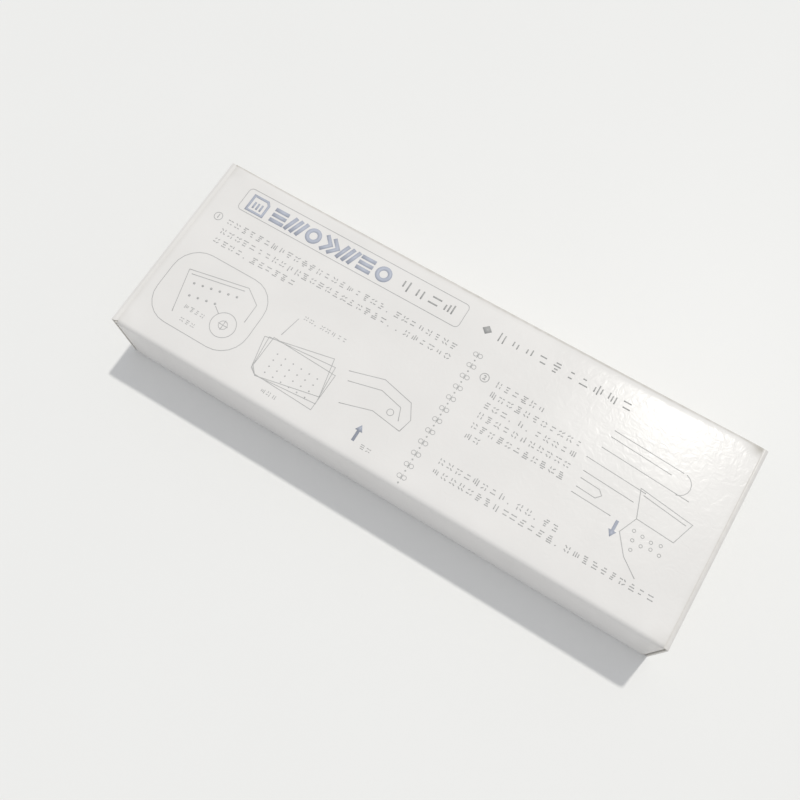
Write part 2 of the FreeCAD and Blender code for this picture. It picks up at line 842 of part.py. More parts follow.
def coil(label, x, low, high, radius, wire, turns):
    """An open coil spring that stands along Y between two heights, its wire round."""
    bottom, top = size(low) + size(wire), size(high) - size(wire)
    middle = size(radius) - size(wire)
    pitch = (top - bottom) / turns
    helix = Part.makeHelix(pitch, top - bottom, middle)
    profile = Part.Wire(Part.makeCircle(size(wire), Vector(middle, 0, 0), Vector(0, 1, 0)))
    item = doc.addObject("Part::Feature", label)
    item.Shape = Part.Wire(helix.Edges).makePipeShell([profile], True, True)
    item.Placement = Placement(Vector(size(x), bottom, size("punch_z")), Rotation(Vector(1, 0, 0), -90))
    return item


def plunger_spring():
    """The return spring between the guide block and the punch's head."""
    low, high = "jaw_floor + gap + 2 * fit", "head_top - head_thickness - fit"
    return coil("plunger_spring", "punch_x", low, high, "head_radius - gap", "coil_wire", 5)


def guide_pin_spring():
    """The light spring between the bridge and the stop on the guide pin."""
    low, high = "stop_top + fit", "bridge_bottom - fit"
    return coil("guide_pin_spring", "guide_x", low, high, "guide_coil_radius", "coil_wire / 2", 7)


def guide_pin():
    """The thin pin that finds the card's small hole, with a tapered tip."""
    foot = ("guide_x", "guide_tip", "punch_z")
    tip = cone("guide_pin_tip", "Y", foot, "guide_radius", "guide_radius / 3", "guide_radius")
    shank = cylinder(
        "guide_pin_shank",
        "Y",
        ("guide_x", "guide_tip + guide_radius", "punch_z"),
        "guide_top - guide_tip - guide_radius",
        "guide_radius",
    )
    return fuse("guide_pin", tip, shank)


def safety_stop():
    """The arm pressed on the guide pin that stands under the rocker when the pin is up."""
    arm = box(
        "safety_stop_arm",
        ("guide_x - 2.6", "stop_bottom", "punch_z - 1.5"),
        ("guide_x + 1.3", "stop_top", "punch_z + 1.5"),
    )
    hole = cylinder("safety_stop_hole", "Y", ("guide_x", "0", "punch_z"), "2 * stop_top", "guide_radius")
    return cut("safety_stop", arm, hole)


def pin(label, x, y, half, radius):
    """A plain pin across the punch."""
    return cylinder(label, "Z", (x, y, f"punch_z - ({half})"), f"2 * ({half})", radius)


# Hand lever. It is drawn squeezed shut, then turned open about its pin.


def turned_open(item):
    """Turns an item about the lever's pin from squeezed to its rest place."""
    pivot = Vector(size("lever_x"), size("lever_y"), 0)
    item.Placement = Placement(Vector(), Rotation(Vector(0, 0, 1), -size("lever_angle")), pivot)
    return item


def lever_line(x, drop="0"):
    """The height of the squeezed lever's top edge at a place, less a drop."""
    rise = "(lever_end_y - lever_start_y) / (lever_end_x - (lever_x + 8))"
    return f"lever_start_y + {rise} * ({x} - (lever_x + 8)) - ({drop})"


def squeeze_lever():
    """The pressed channel of the hand lever, with two ears on its pin."""
    body = new_body("squeeze_lever")
    low, high = about_punch("-lever_half", "lever_half")
    outline = [
        ("lever_x - lever_boss", "lever_y + lever_boss"),
        ("lever_x - lever_boss", lever_line("lever_x - lever_boss", "lever_depth")),
        ("lever_end_x", lever_line("lever_end_x", "lever_depth")),
        ("lever_end_x", lever_line("lever_end_x")),
        ("lever_x + 8", lever_line("lever_x + 8")),
        ("lever_x + lever_boss", "lever_y - 1"),
        ("lever_x + lever_boss", "lever_y + lever_boss"),
    ]
    pad(body, "lever_outer", "XY_Plane", low, high, [outline])
    low_in, high_in = about_punch("-lever_inner", "lever_inner")
    hollow = [
        ("lever_x - lever_boss - 1", "lever_y + lever_boss + 1"),
        ("lever_x - lever_boss - 1", lever_line("lever_x - lever_boss - 1", "lever_depth - lever_sheet")),
        ("lever_end_x + 1", lever_line("lever_end_x + 1", "lever_depth - lever_sheet")),
        ("lever_end_x + 1", "lever_y + lever_boss + 1"),
    ]
    pocket(body, "lever_hollow", "XY_Plane", low_in, high_in, [hollow])
    roller_x, roller_y = squeezed_roller()
    holes = [("lever_x", "lever_y", "lever_pin_radius + fit"), (roller_x, roller_y, "roller_pin_radius")]
    pocket(body, "lever_holes", "XY_Plane", low, high, circles=holes)
    for number, (x, y, radius) in enumerate(
        [
            ("lever_x - lever_boss", "lever_y + lever_boss", 4.0),
            ("lever_x + lever_boss", "lever_y + lever_boss", 4.0),
            ("lever_end_x", lever_line("lever_end_x"), 2.5),
            ("lever_end_x", lever_line("lever_end_x", "lever_depth"), 1.0),
        ]
    ):
        soften(body, f"lever_round{number}", radius, near(x, y, 0.05))
    return turned_open(body)


def squeezed_roller():
    """Where the roller's axis lies with the lever squeezed shut."""
    turn = "lever_angle * 1deg"
    reach_x, reach_y = "(roller_x - lever_x)", "(roller_y - lever_y)"
    return (
        f"lever_x + {reach_x} * cos({turn}) - {reach_y} * sin({turn})",
        f"lever_y + {reach_x} * sin({turn}) + {reach_y} * cos({turn})",
    )


def lever_grip():
    """The plastic cover on the lever's outer side."""
    body = new_body("lever_grip")
    low, high = about_punch("-lever_half - grip_wall", "lever_half + grip_wall")
    end = "lever_end_x + grip_wall"
    outline = [
        ("grip_start_x", lever_line("grip_start_x", "1.5")),
        ("grip_start_x", lever_line("grip_start_x", "lever_depth + grip_wall")),
        (end, lever_line(end, "lever_depth + grip_wall")),
        (end, lever_line(end, "1.5")),
    ]
    pad(body, "grip_outer", "XY_Plane", low, high, [outline])
    low_in, high_in = about_punch("-lever_half", "lever_half")
    hollow = [
        ("grip_start_x - 1", lever_line("grip_start_x - 1", "0")),
        ("grip_start_x - 1", lever_line("grip_start_x - 1", "lever_depth")),
        ("lever_end_x", lever_line("lever_end_x", "lever_depth")),
        ("lever_end_x", lever_line("lever_end_x", "0")),
    ]
    pocket(body, "grip_hollow", "XY_Plane", low_in, high_in, [hollow])
    soften(body, "grip_end_round", 3.0, near(end, lever_line(end, "lever_depth + grip_wall"), 0.05))
    start = lever_line("grip_start_x", "lever_depth + grip_wall")
    soften(body, "grip_start_round", 1.2, near("grip_start_x", start, 0.05))
    return turned_open(body)


def lever_roller():
    """The roller that lifts the rocker's tail, free on its pin."""
    wheel = pin("roller_wheel", "roller_x", "roller_y", "rocker_half", "roller_radius")
    bore = pin("roller_bore", "roller_x", "roller_y", "rocker_half + 1", "roller_pin_radius + fit")
    return cut("lever_roller", wheel, bore)


def lever_leaf_spring():
    """The bent leaf that pushes the lever open, clipped inside the channel."""
    body = new_body("lever_leaf_spring")
    low, high = about_punch("-leaf_half", "leaf_half")
    floor_drop = "lever_depth - lever_sheet - fit"
    outline = [
        ("leaf_clip_x", lever_line("leaf_clip_x", floor_drop)),
        ("leaf_bend_x", lever_line("leaf_bend_x", floor_drop)),
        ("leaf_tip_x", "leaf_tip_y - leaf"),
        ("leaf_tip_x", "leaf_tip_y"),
        ("leaf_bend_x", lever_line("leaf_bend_x", f"{floor_drop} - leaf")),
        ("leaf_clip_x", lever_line("leaf_clip_x", f"{floor_drop} - leaf")),
    ]
    pad(body, "leaf_strip", "XY_Plane", low, high, [outline])
    return turned_open(body)


# Housing of the handle

SHELL_OUTLINE = [
    ("tail_x", "lever_y - 2"),
    ("tail_x", "frame_top - 4"),
    ("tail_x + 7", "frame_top + shell_back_rise"),
    ("pivot_x - 14", "frame_top + 0.5"),
    ("shell_front", "neck_top + shell_front_rise"),
    ("shell_front", "jaw_bottom - shell_lip"),
    ("throat_back - throat_heel", "jaw_bottom - shell_lip"),
    ("lever_x + 8", "spine_bottom"),
    ("lever_x - 6", "spine_bottom"),
]
SHELL_HOLLOW = [
    ("tail_x + shell_wall", "lever_y - 9"),
    ("tail_x + shell_wall", "frame_top - 4.6"),
    ("tail_x + 7.6", "frame_top + shell_back_rise - shell_wall"),
    ("pivot_x - 14", "frame_top + 0.5 - shell_wall"),
    ("shell_front + 1", "neck_top + shell_front_rise - 0.1 - shell_wall"),
    ("shell_front + 1", "jaw_bottom - gap"),
    ("throat_back - throat_heel - gap", "jaw_bottom - gap"),
    ("shell_window_x", "spine_bottom - (shell_window_x - lever_x) * 0.16 + gap"),
    ("shell_window_x", "jaw_bottom - 2 * shell_lip"),
]


def housing_shell(label, side):
    """One half of the handle with its screw bosses; side is -1 for the lower half and 1 for the upper."""
    body = new_body(label)
    if side < 0:
        low, high = about_punch("-housing_half", "-fit")
        low_in, high_in = about_punch("-shell_inner", "1")
        low_boss, high_boss = about_punch("-shell_inner - fit", "-plates_half")
        low_head, high_head = about_punch("-housing_half - 1", "-housing_half + screw_head")
    else:
        low, high = about_punch("fit", "housing_half")
        low_in, high_in = about_punch("-1", "shell_inner")
        low_boss, high_boss = about_punch("plates_half", "shell_inner + fit")
        low_head, high_head = about_punch("housing_half - screw_head", "housing_half + 1")
    pad(body, f"{label}_outer", "XY_Plane", low, high, [SHELL_OUTLINE])
    for number, (x, y) in enumerate(SHELL_OUTLINE[:3]):
        soften(body, f"{label}_round{number}", "shell_round", near(x, y, 0.05))
    outer_face = size(low if side < 0 else high)

    def rim(direction, middle):
        return abs(direction.z) < 0.01 and abs(middle.z - outer_face) < 0.01

    soften(body, f"{label}_rim", "rib_round", rim)
    pocket(body, f"{label}_hollow", "XY_Plane", low_in, high_in, [SHELL_HOLLOW])
    for number, (x, y) in enumerate(SCREWS):
        circle = (x, y, "boss_radius")
        pad(body, f"{label}_boss{number}", "XY_Plane", low_boss, high_boss, circles=[circle])
    low_all, high_all = about_punch("-housing_half - 1", "housing_half + 1")
    bores = [(x, y, "screw_radius + fit") for x, y in SCREWS]
    pocket(body, f"{label}_bores", "XY_Plane", low_all, high_all, circles=bores)
    seats = [(x, y, "screw_head_radius + fit") for x, y in SCREWS]
    pocket(body, f"{label}_head_seats", "XY_Plane", low_head, high_head, circles=seats)
    return body


def housing_screws():
    """Four through-screws, each with a domed head above and a round nut below."""
    screws = []
    for number, (x, y) in enumerate(SCREWS):
        shank = cylinder(
            f"screw{number}_shank",
            "Z",
            (x, y, "punch_z - housing_half + gap"),
            "2 * (housing_half - gap)",
            "screw_radius",
        )
        ends = []
        bases = {"nut": "punch_z - housing_half + screw_sink", "head": "punch_z + housing_half - screw_head"}
        for end, base in bases.items():
            name = f"screw{number}_{end}"
            ends.append(cylinder(name, "Z", (x, y, base), "screw_head - screw_sink", "screw_head_radius"))
        slot = box(
            f"screw{number}_slot",
            (f"{x} - screw_head_radius - 1", f"{y} - 0.4", "punch_z + housing_half - screw_head / 2"),
            (f"{x} + screw_head_radius + 1", f"{y} + 0.4", "punch_z + housing_half + 1"),
        )
        screws.append(cut(f"screw{number}", fuse(f"screw{number}_solid", shank, *ends), slot))
    return group("housing_screws", screws)


# Chip case


def chip_case():
    """The open tray under the die, with a hinge boss in front and a thumb tab behind."""
    body = new_body("chip_case")
    low, high = about_punch("-case_half", "case_half")
    outline = [
        ("case_rear", "case_top"),
        ("case_rear", "case_bottom + 2.5"),
        ("case_rear + 3", "case_bottom"),
        ("case_front - 2", "case_bottom"),
        ("case_front", "case_bottom + 2"),
        ("case_front", "case_top"),
    ]
    pad(body, "case_outer", "XY_Plane", low, high, [outline])
    low_in, high_in = about_punch("-case_inner", "case_inner")
    hollow = [
        ("case_rear + case_wall", "case_top + 1"),
        ("case_rear + case_wall", "case_bottom + 3"),
        ("case_rear + 3.4", "case_bottom + case_wall"),
        ("case_front - 2.4", "case_bottom + case_wall"),
        ("case_front - case_wall", "case_bottom + 2.4"),
        ("case_front - case_wall", "case_top + 1"),
    ]
    pocket(body, "case_hollow", "XY_Plane", low_in, high_in, [hollow])
    low, high = about_punch("-plates_inner_half + gap", "plates_inner_half - gap")
    arm_front, arm_bottom = "case_pin_x + case_eye_radius", "case_pin_y - case_eye_radius"
    arm = rectangle("case_front - fit", arm_front, arm_bottom, "case_top")
    pad(body, "case_arm", "XY_Plane", low, high, [arm])
    low, high = about_punch("-plates_inner_half", "plates_inner_half")
    tab = rectangle("case_rear - case_tab", "case_rear + fit", "case_top - 1.6", "case_top - 0.4")
    pad(body, "case_thumb_tab", "XY_Plane", low, high, [tab])
    low, high = about_punch("-case_half", "case_half")
    pocket(
        body,
        "case_hinge_hole",
        "XY_Plane",
        low,
        high,
        circles=[("case_pin_x", "case_pin_y", "case_pin_radius + fit")],
    )
    for number, y in enumerate((arm_bottom, "case_top")):
        soften(body, f"case_arm_round{number}", "case_eye_radius - gap / 2", near(arm_front, y, 0.05))
    return body


def nodes():
    """Every piece of the object, in the order it is listed."""
    return [
        carton_sleeve(),
        end_flap("right_end_flap", 1),
        end_flap("left_end_flap", -1),
        dust_flap("right_near_dust_flap", 1, -1),
        dust_flap("right_far_dust_flap", 1, 1),
        dust_flap("left_near_dust_flap", -1, -1),
        dust_flap("left_far_dust_flap", -1, 1),
        frame_plate("lower_frame_plate", "-plates_half", "-plates_inner_half"),
        frame_plate("upper_frame_plate", "plates_inner_half", "plates_half"),
        frame_posts(),
        card_table(),
        die_block(),
        die_bush(),
        nose_guide_block(),
        spring_bridge(),
        upper_jaw_cover(),
        housing_shell("lower_housing_shell", -1),
        housing_shell("upper_housing_shell", 1),
        housing_screws(),
        rocker_beam(),
        pin("rocker_axle", "pivot_x", "pivot_y", "plates_half", "axle_radius"),
        punch_plunger(),
        plunger_spring(),
        guide_pin(),
        safety_stop(),
        guide_pin_spring(),
        squeeze_lever(),
        lever_grip(),
        pin("lever_hinge_pin", "lever_x", "lever_y", "lever_half + gap", "lever_pin_radius"),
        lever_leaf_spring(),
        lever_roller(),
        pin("lever_roller_pin", "roller_x", "roller_y", "lever_half", "roller_pin_radius"),
        chip_case(),
        pin("chip_case_pin", "case_pin_x", "case_pin_y", "plates_half", "case_pin_radius"),
    ]


def main():
    """Builds every piece, checks the document and writes one STEP file for each."""
    pieces = nodes()
    doc.recompute()
    for item in doc.Objects:
        if "Invalid" in item.State or "Error" in item.State:
            raise ValueError(f"{item.Label} failed: {item.State}")
    os.makedirs("parts", exist_ok=True)
    for piece in pieces:
        if piece.Shape.isNull() or not piece.Shape.isValid() or piece.Shape.Volume <= 0:
            raise ValueError(f"{piece.Label} has no valid shape")
        piece.Shape.exportStep(os.path.join("parts", f"{piece.Label}.step"))
    FreeCAD.Console.PrintMessage(f"{len(pieces)} pieces written\n")


main()
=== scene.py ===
"""A hand card punch in its printed paperboard carton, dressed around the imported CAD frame.

The carton lies flat with its instruction panel up, +X runs to the end where the punch's nose lies, and +Y to
the far long side. Sizes are in millimetres until a mesh is finished, and in metres in the finished mesh.
"""

import json
import logging
import math
import random
from dataclasses import dataclass, field
from enum import Enum
from typing import Callable, Optional, Sequence

import bmesh
import bpy
from mathutils import Matrix, Vector, noise


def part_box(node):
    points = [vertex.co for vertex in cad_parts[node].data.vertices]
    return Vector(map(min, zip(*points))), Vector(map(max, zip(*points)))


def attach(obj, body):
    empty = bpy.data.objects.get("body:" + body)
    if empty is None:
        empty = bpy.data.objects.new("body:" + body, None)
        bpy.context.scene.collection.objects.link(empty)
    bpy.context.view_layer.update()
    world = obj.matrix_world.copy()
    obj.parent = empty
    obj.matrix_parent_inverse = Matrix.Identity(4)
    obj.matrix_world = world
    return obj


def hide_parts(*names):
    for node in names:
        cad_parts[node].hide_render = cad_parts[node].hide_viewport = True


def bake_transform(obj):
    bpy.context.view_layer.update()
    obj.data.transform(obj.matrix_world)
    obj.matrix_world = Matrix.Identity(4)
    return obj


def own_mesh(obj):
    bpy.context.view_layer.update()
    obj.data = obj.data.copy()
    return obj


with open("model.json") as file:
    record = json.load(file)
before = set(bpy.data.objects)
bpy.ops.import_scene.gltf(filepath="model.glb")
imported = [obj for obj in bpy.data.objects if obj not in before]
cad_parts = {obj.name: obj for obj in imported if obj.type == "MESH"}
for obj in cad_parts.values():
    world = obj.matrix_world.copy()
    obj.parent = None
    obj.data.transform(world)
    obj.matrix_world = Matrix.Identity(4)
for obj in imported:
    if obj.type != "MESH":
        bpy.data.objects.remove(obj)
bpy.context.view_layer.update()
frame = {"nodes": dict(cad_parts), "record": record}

MM = 0.001
CUT_EDGE_ANGLE = 75.0
LOG = logging.getLogger("card_punch")

Point = tuple[float, float]
Colour = tuple[float, float, float]


def linear(red: int, green: int, blue: int) -> Colour:
    """Turns a colour of the screen, 0 to 255, into the renderer's linear values.

    Args:
        red: Red, 0 to 255.
        green: Green, 0 to 255.
        blue: Blue, 0 to 255.

    Returns:
        The three linear values, 0 to 1.
    """
    values = []
    for byte in (red, green, blue):
        part = byte / 255
        values.append(part / 12.92 if part <= 0.04045 else ((part + 0.055) / 1.055) ** 2.4)
    return values[0], values[1], values[2]


# Finishes


class Recipe:
    """Adds and joins the shader nodes of one material."""

    def __init__(self, name: str, colour: Colour, carried: bool = False) -> None:
        """Starts a material of one colour.

        Args:
            name: The material's name.
            colour: Its base colour.
            carried: Whether its patterns follow the places that the surface had when it was built, at rest.
        """
        self.material = bpy.data.materials.new(name)
        self.material.use_nodes = True
        self.material.diffuse_color = (*colour, 1.0)
        self.tree = self.material.node_tree
        self.tree.nodes.clear()
        self.output = self.add("ShaderNodeOutputMaterial")
        self.shader = self.add("ShaderNodeBsdfPrincipled")
        self.shader.inputs["Base Color"].default_value = (*colour, 1.0)
        self.tree.links.new(self.shader.outputs["BSDF"], self.output.inputs["Surface"])
        if carried:
            self.place = self.add("ShaderNodeAttribute", attribute_name="place").outputs["Vector"]
        else:
            self.place = self.add("ShaderNodeTexCoord").outputs["Object"]

    def add(self, kind: str, **settings: object) -> bpy.types.Node:
        """Adds a node and sets its own properties.

        Args:
            kind: The node's type.
            settings: Its properties by name.

        Returns:
            The node.
        """
        node = self.tree.nodes.new(kind)
        for name, value in settings.items():
            setattr(node, name, value)
        return node

    def feed(self, source: bpy.types.NodeSocket, node: bpy.types.Node, socket: str | int) -> None:
        """Joins an output to an input.

        Args:
            source: The output.
            node: The node that takes it.
            socket: Its input's name or number.
        """
        self.tree.links.new(source, node.inputs[socket])

    def stretched(self, scale: tuple[float, float, float]) -> bpy.types.NodeSocket:
        """The pattern's coordinates, scaled along each axis.

        Args:
            scale: The factor along each axis; a small one draws the pattern out.

        Returns:
            The scaled coordinates.
        """
        mapping = self.add("ShaderNodeMapping")
        mapping.inputs["Scale"].default_value = scale
        self.feed(self.place, mapping, "Vector")
        return mapping.outputs["Vector"]

    def noise(
        self,
        size_mm: float,
        detail: float = 3.0,
        distortion: float = 0.0,
        vector: Optional[bpy.types.NodeSocket] = None,
    ) -> bpy.types.NodeSocket:
        """Noise whose features have about one size.

        Args:
            size_mm: The size of a feature in millimetres.
            detail: How many finer layers it has.
            distortion: How much it is warped.
            vector: Where it is read, or nothing for the object's coordinates.

        Returns:
            Its value, 0 to 1.
        """
        node = self.add("ShaderNodeTexNoise")
        node.inputs["Scale"].default_value = 1 / (size_mm * MM)
        node.inputs["Detail"].default_value = detail
        node.inputs["Distortion"].default_value = distortion
        self.feed(vector or self.place, node, "Vector")
        return node.outputs["Fac"]

    def spread(
        self, value: bpy.types.NodeSocket, low: float, high: float, to_low: float, to_high: float
    ) -> bpy.types.NodeSocket:
        """Maps a value's range onto another, held at its ends.

        Args:
            value: The value.
            low: Where its range starts.
            high: Where its range ends.
            to_low: What the start becomes.
            to_high: What the end becomes.

        Returns:
            The mapped value.
        """
        node = self.add("ShaderNodeMapRange", clamp=True)
        for socket, number in zip(("From Min", "From Max", "To Min", "To Max"), (low, high, to_low, to_high)):
            node.inputs[socket].default_value = number
        self.feed(value, node, "Value")
        return node.outputs["Result"]

    def blend(self, share: bpy.types.NodeSocket, first: object, second: object) -> bpy.types.NodeSocket:
        """Mixes two colours.

        Args:
            share: How much of the second shows, 0 to 1.
            first: A colour, or the output of a node.
            second: A colour, or the output of a node.

        Returns:
            The mixed colour.
        """
        node = self.add("ShaderNodeMix", data_type="RGBA")
        self.feed(share, node, "Factor")
        for socket, colour in ((6, first), (7, second)):
            if isinstance(colour, tuple):
                node.inputs[socket].default_value = (*colour, 1.0)
            else:
                self.feed(colour, node, socket)
        return node.outputs[2]

    def total(
        self, first: bpy.types.NodeSocket, second: bpy.types.NodeSocket, share: float = 1.0
    ) -> bpy.types.NodeSocket:
        """Adds a share of one value to another.

        Args:
            first: The value that is added to.
            second: The value that is added.
            share: How much of it.

        Returns:
            The sum.
        """
        node = self.add("ShaderNodeMath", operation="MULTIPLY_ADD")
        node.inputs[1].default_value = share
        self.feed(second, node, 0)
        self.feed(first, node, 2)
        return node.outputs["Value"]

    def bump(self, height: bpy.types.NodeSocket, depth_mm: float, *also: str) -> None:
        """Raises the surface by a height.

        Args:
            height: The height, 0 to 1.
            depth_mm: How many millimetres a height of 1 stands for.
            also: Other inputs of the shader that take the same bumps.
        """
        node = self.add("ShaderNodeBump")
        node.inputs["Distance"].default_value = depth_mm * MM
        self.feed(height, node, "Height")
        for socket in ("Normal", *also):
            self.feed(node.outputs["Normal"], self.shader, socket)

    def set(self, **values: float) -> None:
        """Sets the shader's own inputs.

        Args:
            values: The numbers, each under its input's name with _ for a space.
        """
        for name, value in values.items():
            self.shader.inputs[name.replace("_", " ").title().replace("Ior", "IOR")].default_value = value


@dataclass(frozen=True)
class CoatedBoard:
    """Clay-coated white board under a thin varnish, or the ink printed on it."""

    name: str
    colour: Colour
    mottle: float = 0.02
    cloud_mm: float = 24.0
    # The darker tone mixed in where the vertex attribute asks: painted shade along the tuck flaps' creases
    # and the top panel's left cut edge, and a darker tone along folds, ends, corners, flap feet and sides.
    soiled_and_shaded: Colour = linear(188, 184, 177)
    soil_and_shade_mm: float = 2.6
    sheen: tuple[float, float] = (0.50, 0.60)
    patch_mm: float = 11.0
    gloss: float = 0.20
    varnish: float = 0.15
    crinkle_mm: float = 3.2
    crinkle_depth_mm: float = 0.042
    grain_mm: float = 0.35
    grain_share: float = 0.05

    def make(self) -> bpy.types.Material:
        """Builds the material.

        Returns:
            The material.
        """
        recipe = Recipe(self.name, self.colour, carried=True)
        lighter = tuple(min(1.0, part * (1 + self.mottle)) for part in self.colour)
        darker = tuple(part * (1 - self.mottle) for part in self.colour)
        cloud = recipe.spread(recipe.noise(self.cloud_mm, 4.0), 0.35, 0.65, 0.0, 1.0)
        shade = recipe.blend(cloud, darker, lighter)
        # Painted shade and darkening, read from the vertex attribute and broken up by noise.
        soil_and_shade = recipe.add("ShaderNodeAttribute", attribute_name="soil_and_shade").outputs["Fac"]
        uneven = recipe.spread(recipe.noise(self.soil_and_shade_mm, 4.0), 0.30, 0.70, 0.55, 1.0)
        share = recipe.add("ShaderNodeMath", operation="MULTIPLY")
        recipe.feed(soil_and_shade, share, 0)
        recipe.feed(uneven, share, 1)
        shade = recipe.blend(share.outputs["Value"], shade, self.soiled_and_shaded)
        recipe.feed(shade, recipe.shader, "Base Color")
        patches = recipe.spread(recipe.noise(self.patch_mm, 5.0, 0.8), 0.3, 0.7, *self.sheen)
        recipe.feed(patches, recipe.shader, "Roughness")
        crinkle = recipe.noise(self.crinkle_mm, 5.0, 1.6)
        grain = recipe.noise(self.grain_mm, 2.0)
        recipe.bump(recipe.total(crinkle, grain, self.grain_share), self.crinkle_depth_mm, "Coat Normal")
        recipe.set(specular_ior_level=0.25, coat_weight=self.varnish, coat_roughness=self.gloss)
        return recipe.material


@dataclass(frozen=True)
class RawBoard:
    """The board's uncoated side, with short fibres in it."""

    name: str = "raw_board"
    colour: Colour = linear(226, 223, 218)
    dark_share: float = 0.90
    fibre_mm: float = 0.5
    fibre_depth_mm: float = 0.02
    fibre_draw: tuple[float, float, float] = (1.0, 0.4, 1.0)

    def make(self) -> bpy.types.Material:
        """Builds the material.

        Returns:
            The material.
        """
        recipe = Recipe(self.name, self.colour, carried=True)
        darker = tuple(part * self.dark_share for part in self.colour)
        fibres = recipe.noise(self.fibre_mm, 5.0, 1.2, recipe.stretched(self.fibre_draw))
        shade = recipe.blend(recipe.spread(fibres, 0.38, 0.60, 0.0, 1.0), self.colour, darker)
        recipe.feed(shade, recipe.shader, "Base Color")
        recipe.set(roughness=0.88, specular_ior_level=0.2)
        recipe.bump(fibres, self.fibre_depth_mm)
        return recipe.material


@dataclass(frozen=True)
class Steel:
    """Rolled, brushed or ground steel, its marks along one axis."""

    name: str
    colour: Colour
    gloss: tuple[float, float] = (0.24, 0.42)
    grain: tuple[float, float, float] = (0.04, 1.0, 1.0)
    mark_mm: float = 0.25
    depth_mm: float = 0.004
    carried: bool = False
    stain_mm: float = 9.0
    stain_share: float = 0.6
    dull_share: float = 0.72

    def make(self) -> bpy.types.Material:
        """Builds the material.

        Returns:
            The material.
        """
        recipe = Recipe(self.name, self.colour, self.carried)
        marks = recipe.noise(self.mark_mm, 4.0, 0.2, recipe.stretched(self.grain))
        stain = recipe.noise(self.stain_mm, 5.0, 0.7)
        dull = tuple(part * self.dull_share for part in self.colour)
        shade = recipe.blend(recipe.spread(stain, 0.52, 0.78, 0.0, 0.8), self.colour, dull)
        recipe.feed(shade, recipe.shader, "Base Color")
        both = recipe.total(marks, stain, self.stain_share)
        recipe.feed(recipe.spread(both, 0.55, 1.05, *self.gloss), recipe.shader, "Roughness")
        recipe.set(metallic=1.0)
        recipe.bump(marks, self.depth_mm)
        return recipe.material


@dataclass(frozen=True)
class Enamel:
    """Stove enamel with a light orange peel."""

    name: str
    colour: Colour
    gloss: tuple[float, float] = (0.28, 0.40)
    fade_gain: float = 1.08
    fade_lift: float = 0.01
    fade_mm: float = 12.0
    patch_mm: float = 5.0
    peel_mm: float = 0.7
    peel_depth_mm: float = 0.012

    def make(self) -> bpy.types.Material:
        """Builds the material.

        Returns:
            The material.
        """
        recipe = Recipe(self.name, self.colour)
        faded = tuple(min(1.0, part * self.fade_gain + self.fade_lift) for part in self.colour)
        cloud = recipe.spread(recipe.noise(self.fade_mm, 4.0), 0.4, 0.7, 0.0, 1.0)
        recipe.feed(recipe.blend(cloud, self.colour, faded), recipe.shader, "Base Color")
        patches = recipe.spread(recipe.noise(self.patch_mm, 3.0), 0.3, 0.7, *self.gloss)
        recipe.feed(patches, recipe.shader, "Roughness")
        recipe.bump(recipe.noise(self.peel_mm, 1.0), self.peel_depth_mm)
        return recipe.material


@dataclass(frozen=True)
class Moulded:
    """Moulded plastic with a fine spark grain."""

    name: str
    colour: Colour
    gloss: tuple[float, float] = (0.42, 0.58)
    grain_mm: float = 0.22
    depth_mm: float = 0.012
    rub_gain: float = 1.25
    rub_lift: float = 0.012
    rub_mm: float = 7.0
    patch_mm: float = 6.0

    def make(self) -> bpy.types.Material:
        """Builds the material.

        Returns:
            The material.
        """
        recipe = Recipe(self.name, self.colour)
        rubbed = tuple(min(1.0, part * self.rub_gain + self.rub_lift) for part in self.colour)
        cloud = recipe.spread(recipe.noise(self.rub_mm, 5.0, 0.5), 0.50, 0.80, 0.0, 0.6)
        recipe.feed(recipe.blend(cloud, self.colour, rubbed), recipe.shader, "Base Color")
        grain = recipe.noise(self.grain_mm, 2.0)
        patches = recipe.spread(recipe.noise(self.patch_mm, 4.0), 0.3, 0.7, *self.gloss)
        recipe.feed(patches, recipe.shader, "Roughness")
        recipe.bump(grain, self.depth_mm)
        return recipe.material


# Mesh helpers


def chain(bm: bmesh.types.BMesh, points: Sequence[Vector], closed: bool) -> list[bmesh.types.BMEdge]:
    """Joins points by edges.

    Args:
        bm: The mesh that the edges go into.
        points: The points in order.
        closed: Whether the last one joins the first.

    Returns:
        The new edges.
    """
    verts = [bm.verts.new(point) for point in points]
    pairs = list(zip(verts, verts[1:]))
    if closed:
        pairs.append((verts[-1], verts[0]))
    return [bm.edges.new(pair) for pair in pairs]


def drawn_out(points: Sequence[Vector], closed: bool, travel: Vector, steps: int) -> bmesh.types.BMesh:
    """Draws a chain of points out into a sheet or a tube.

    Args:
        points: The chain.
        closed: Whether it is a loop.
        travel: How far it is drawn.
        steps: In how many steps.

    Returns:
        The mesh.
    """
    bm = bmesh.new()
    edges = chain(bm, points, closed)
    geom = [*bm.verts, *edges]
    bmesh.ops.spin(bm, geom=geom, axis=(1, 0, 0), cent=(0, 0, 0), dvec=travel / steps, angle=0, steps=steps)
    return bm


def turn_towards(bm: bmesh.types.BMesh, outward: Callable[[Vector], Vector]) -> None:
    """Turns every face so that it looks outward.

    Args:
        bm: The mesh.
        outward: Gives the outward direction at a point.
    """
    bm.normal_update()
    wrong = [face for face in bm.faces if face.normal.dot(outward(face.calc_center_median())) < 0]
    bmesh.ops.reverse_faces(bm, faces=wrong)


@dataclass(frozen=True)
class Crease:
    """The line where a piece crosses from the body that holds it to the one that it moves with."""

    holder: str
    start: Vector
    end: Vector


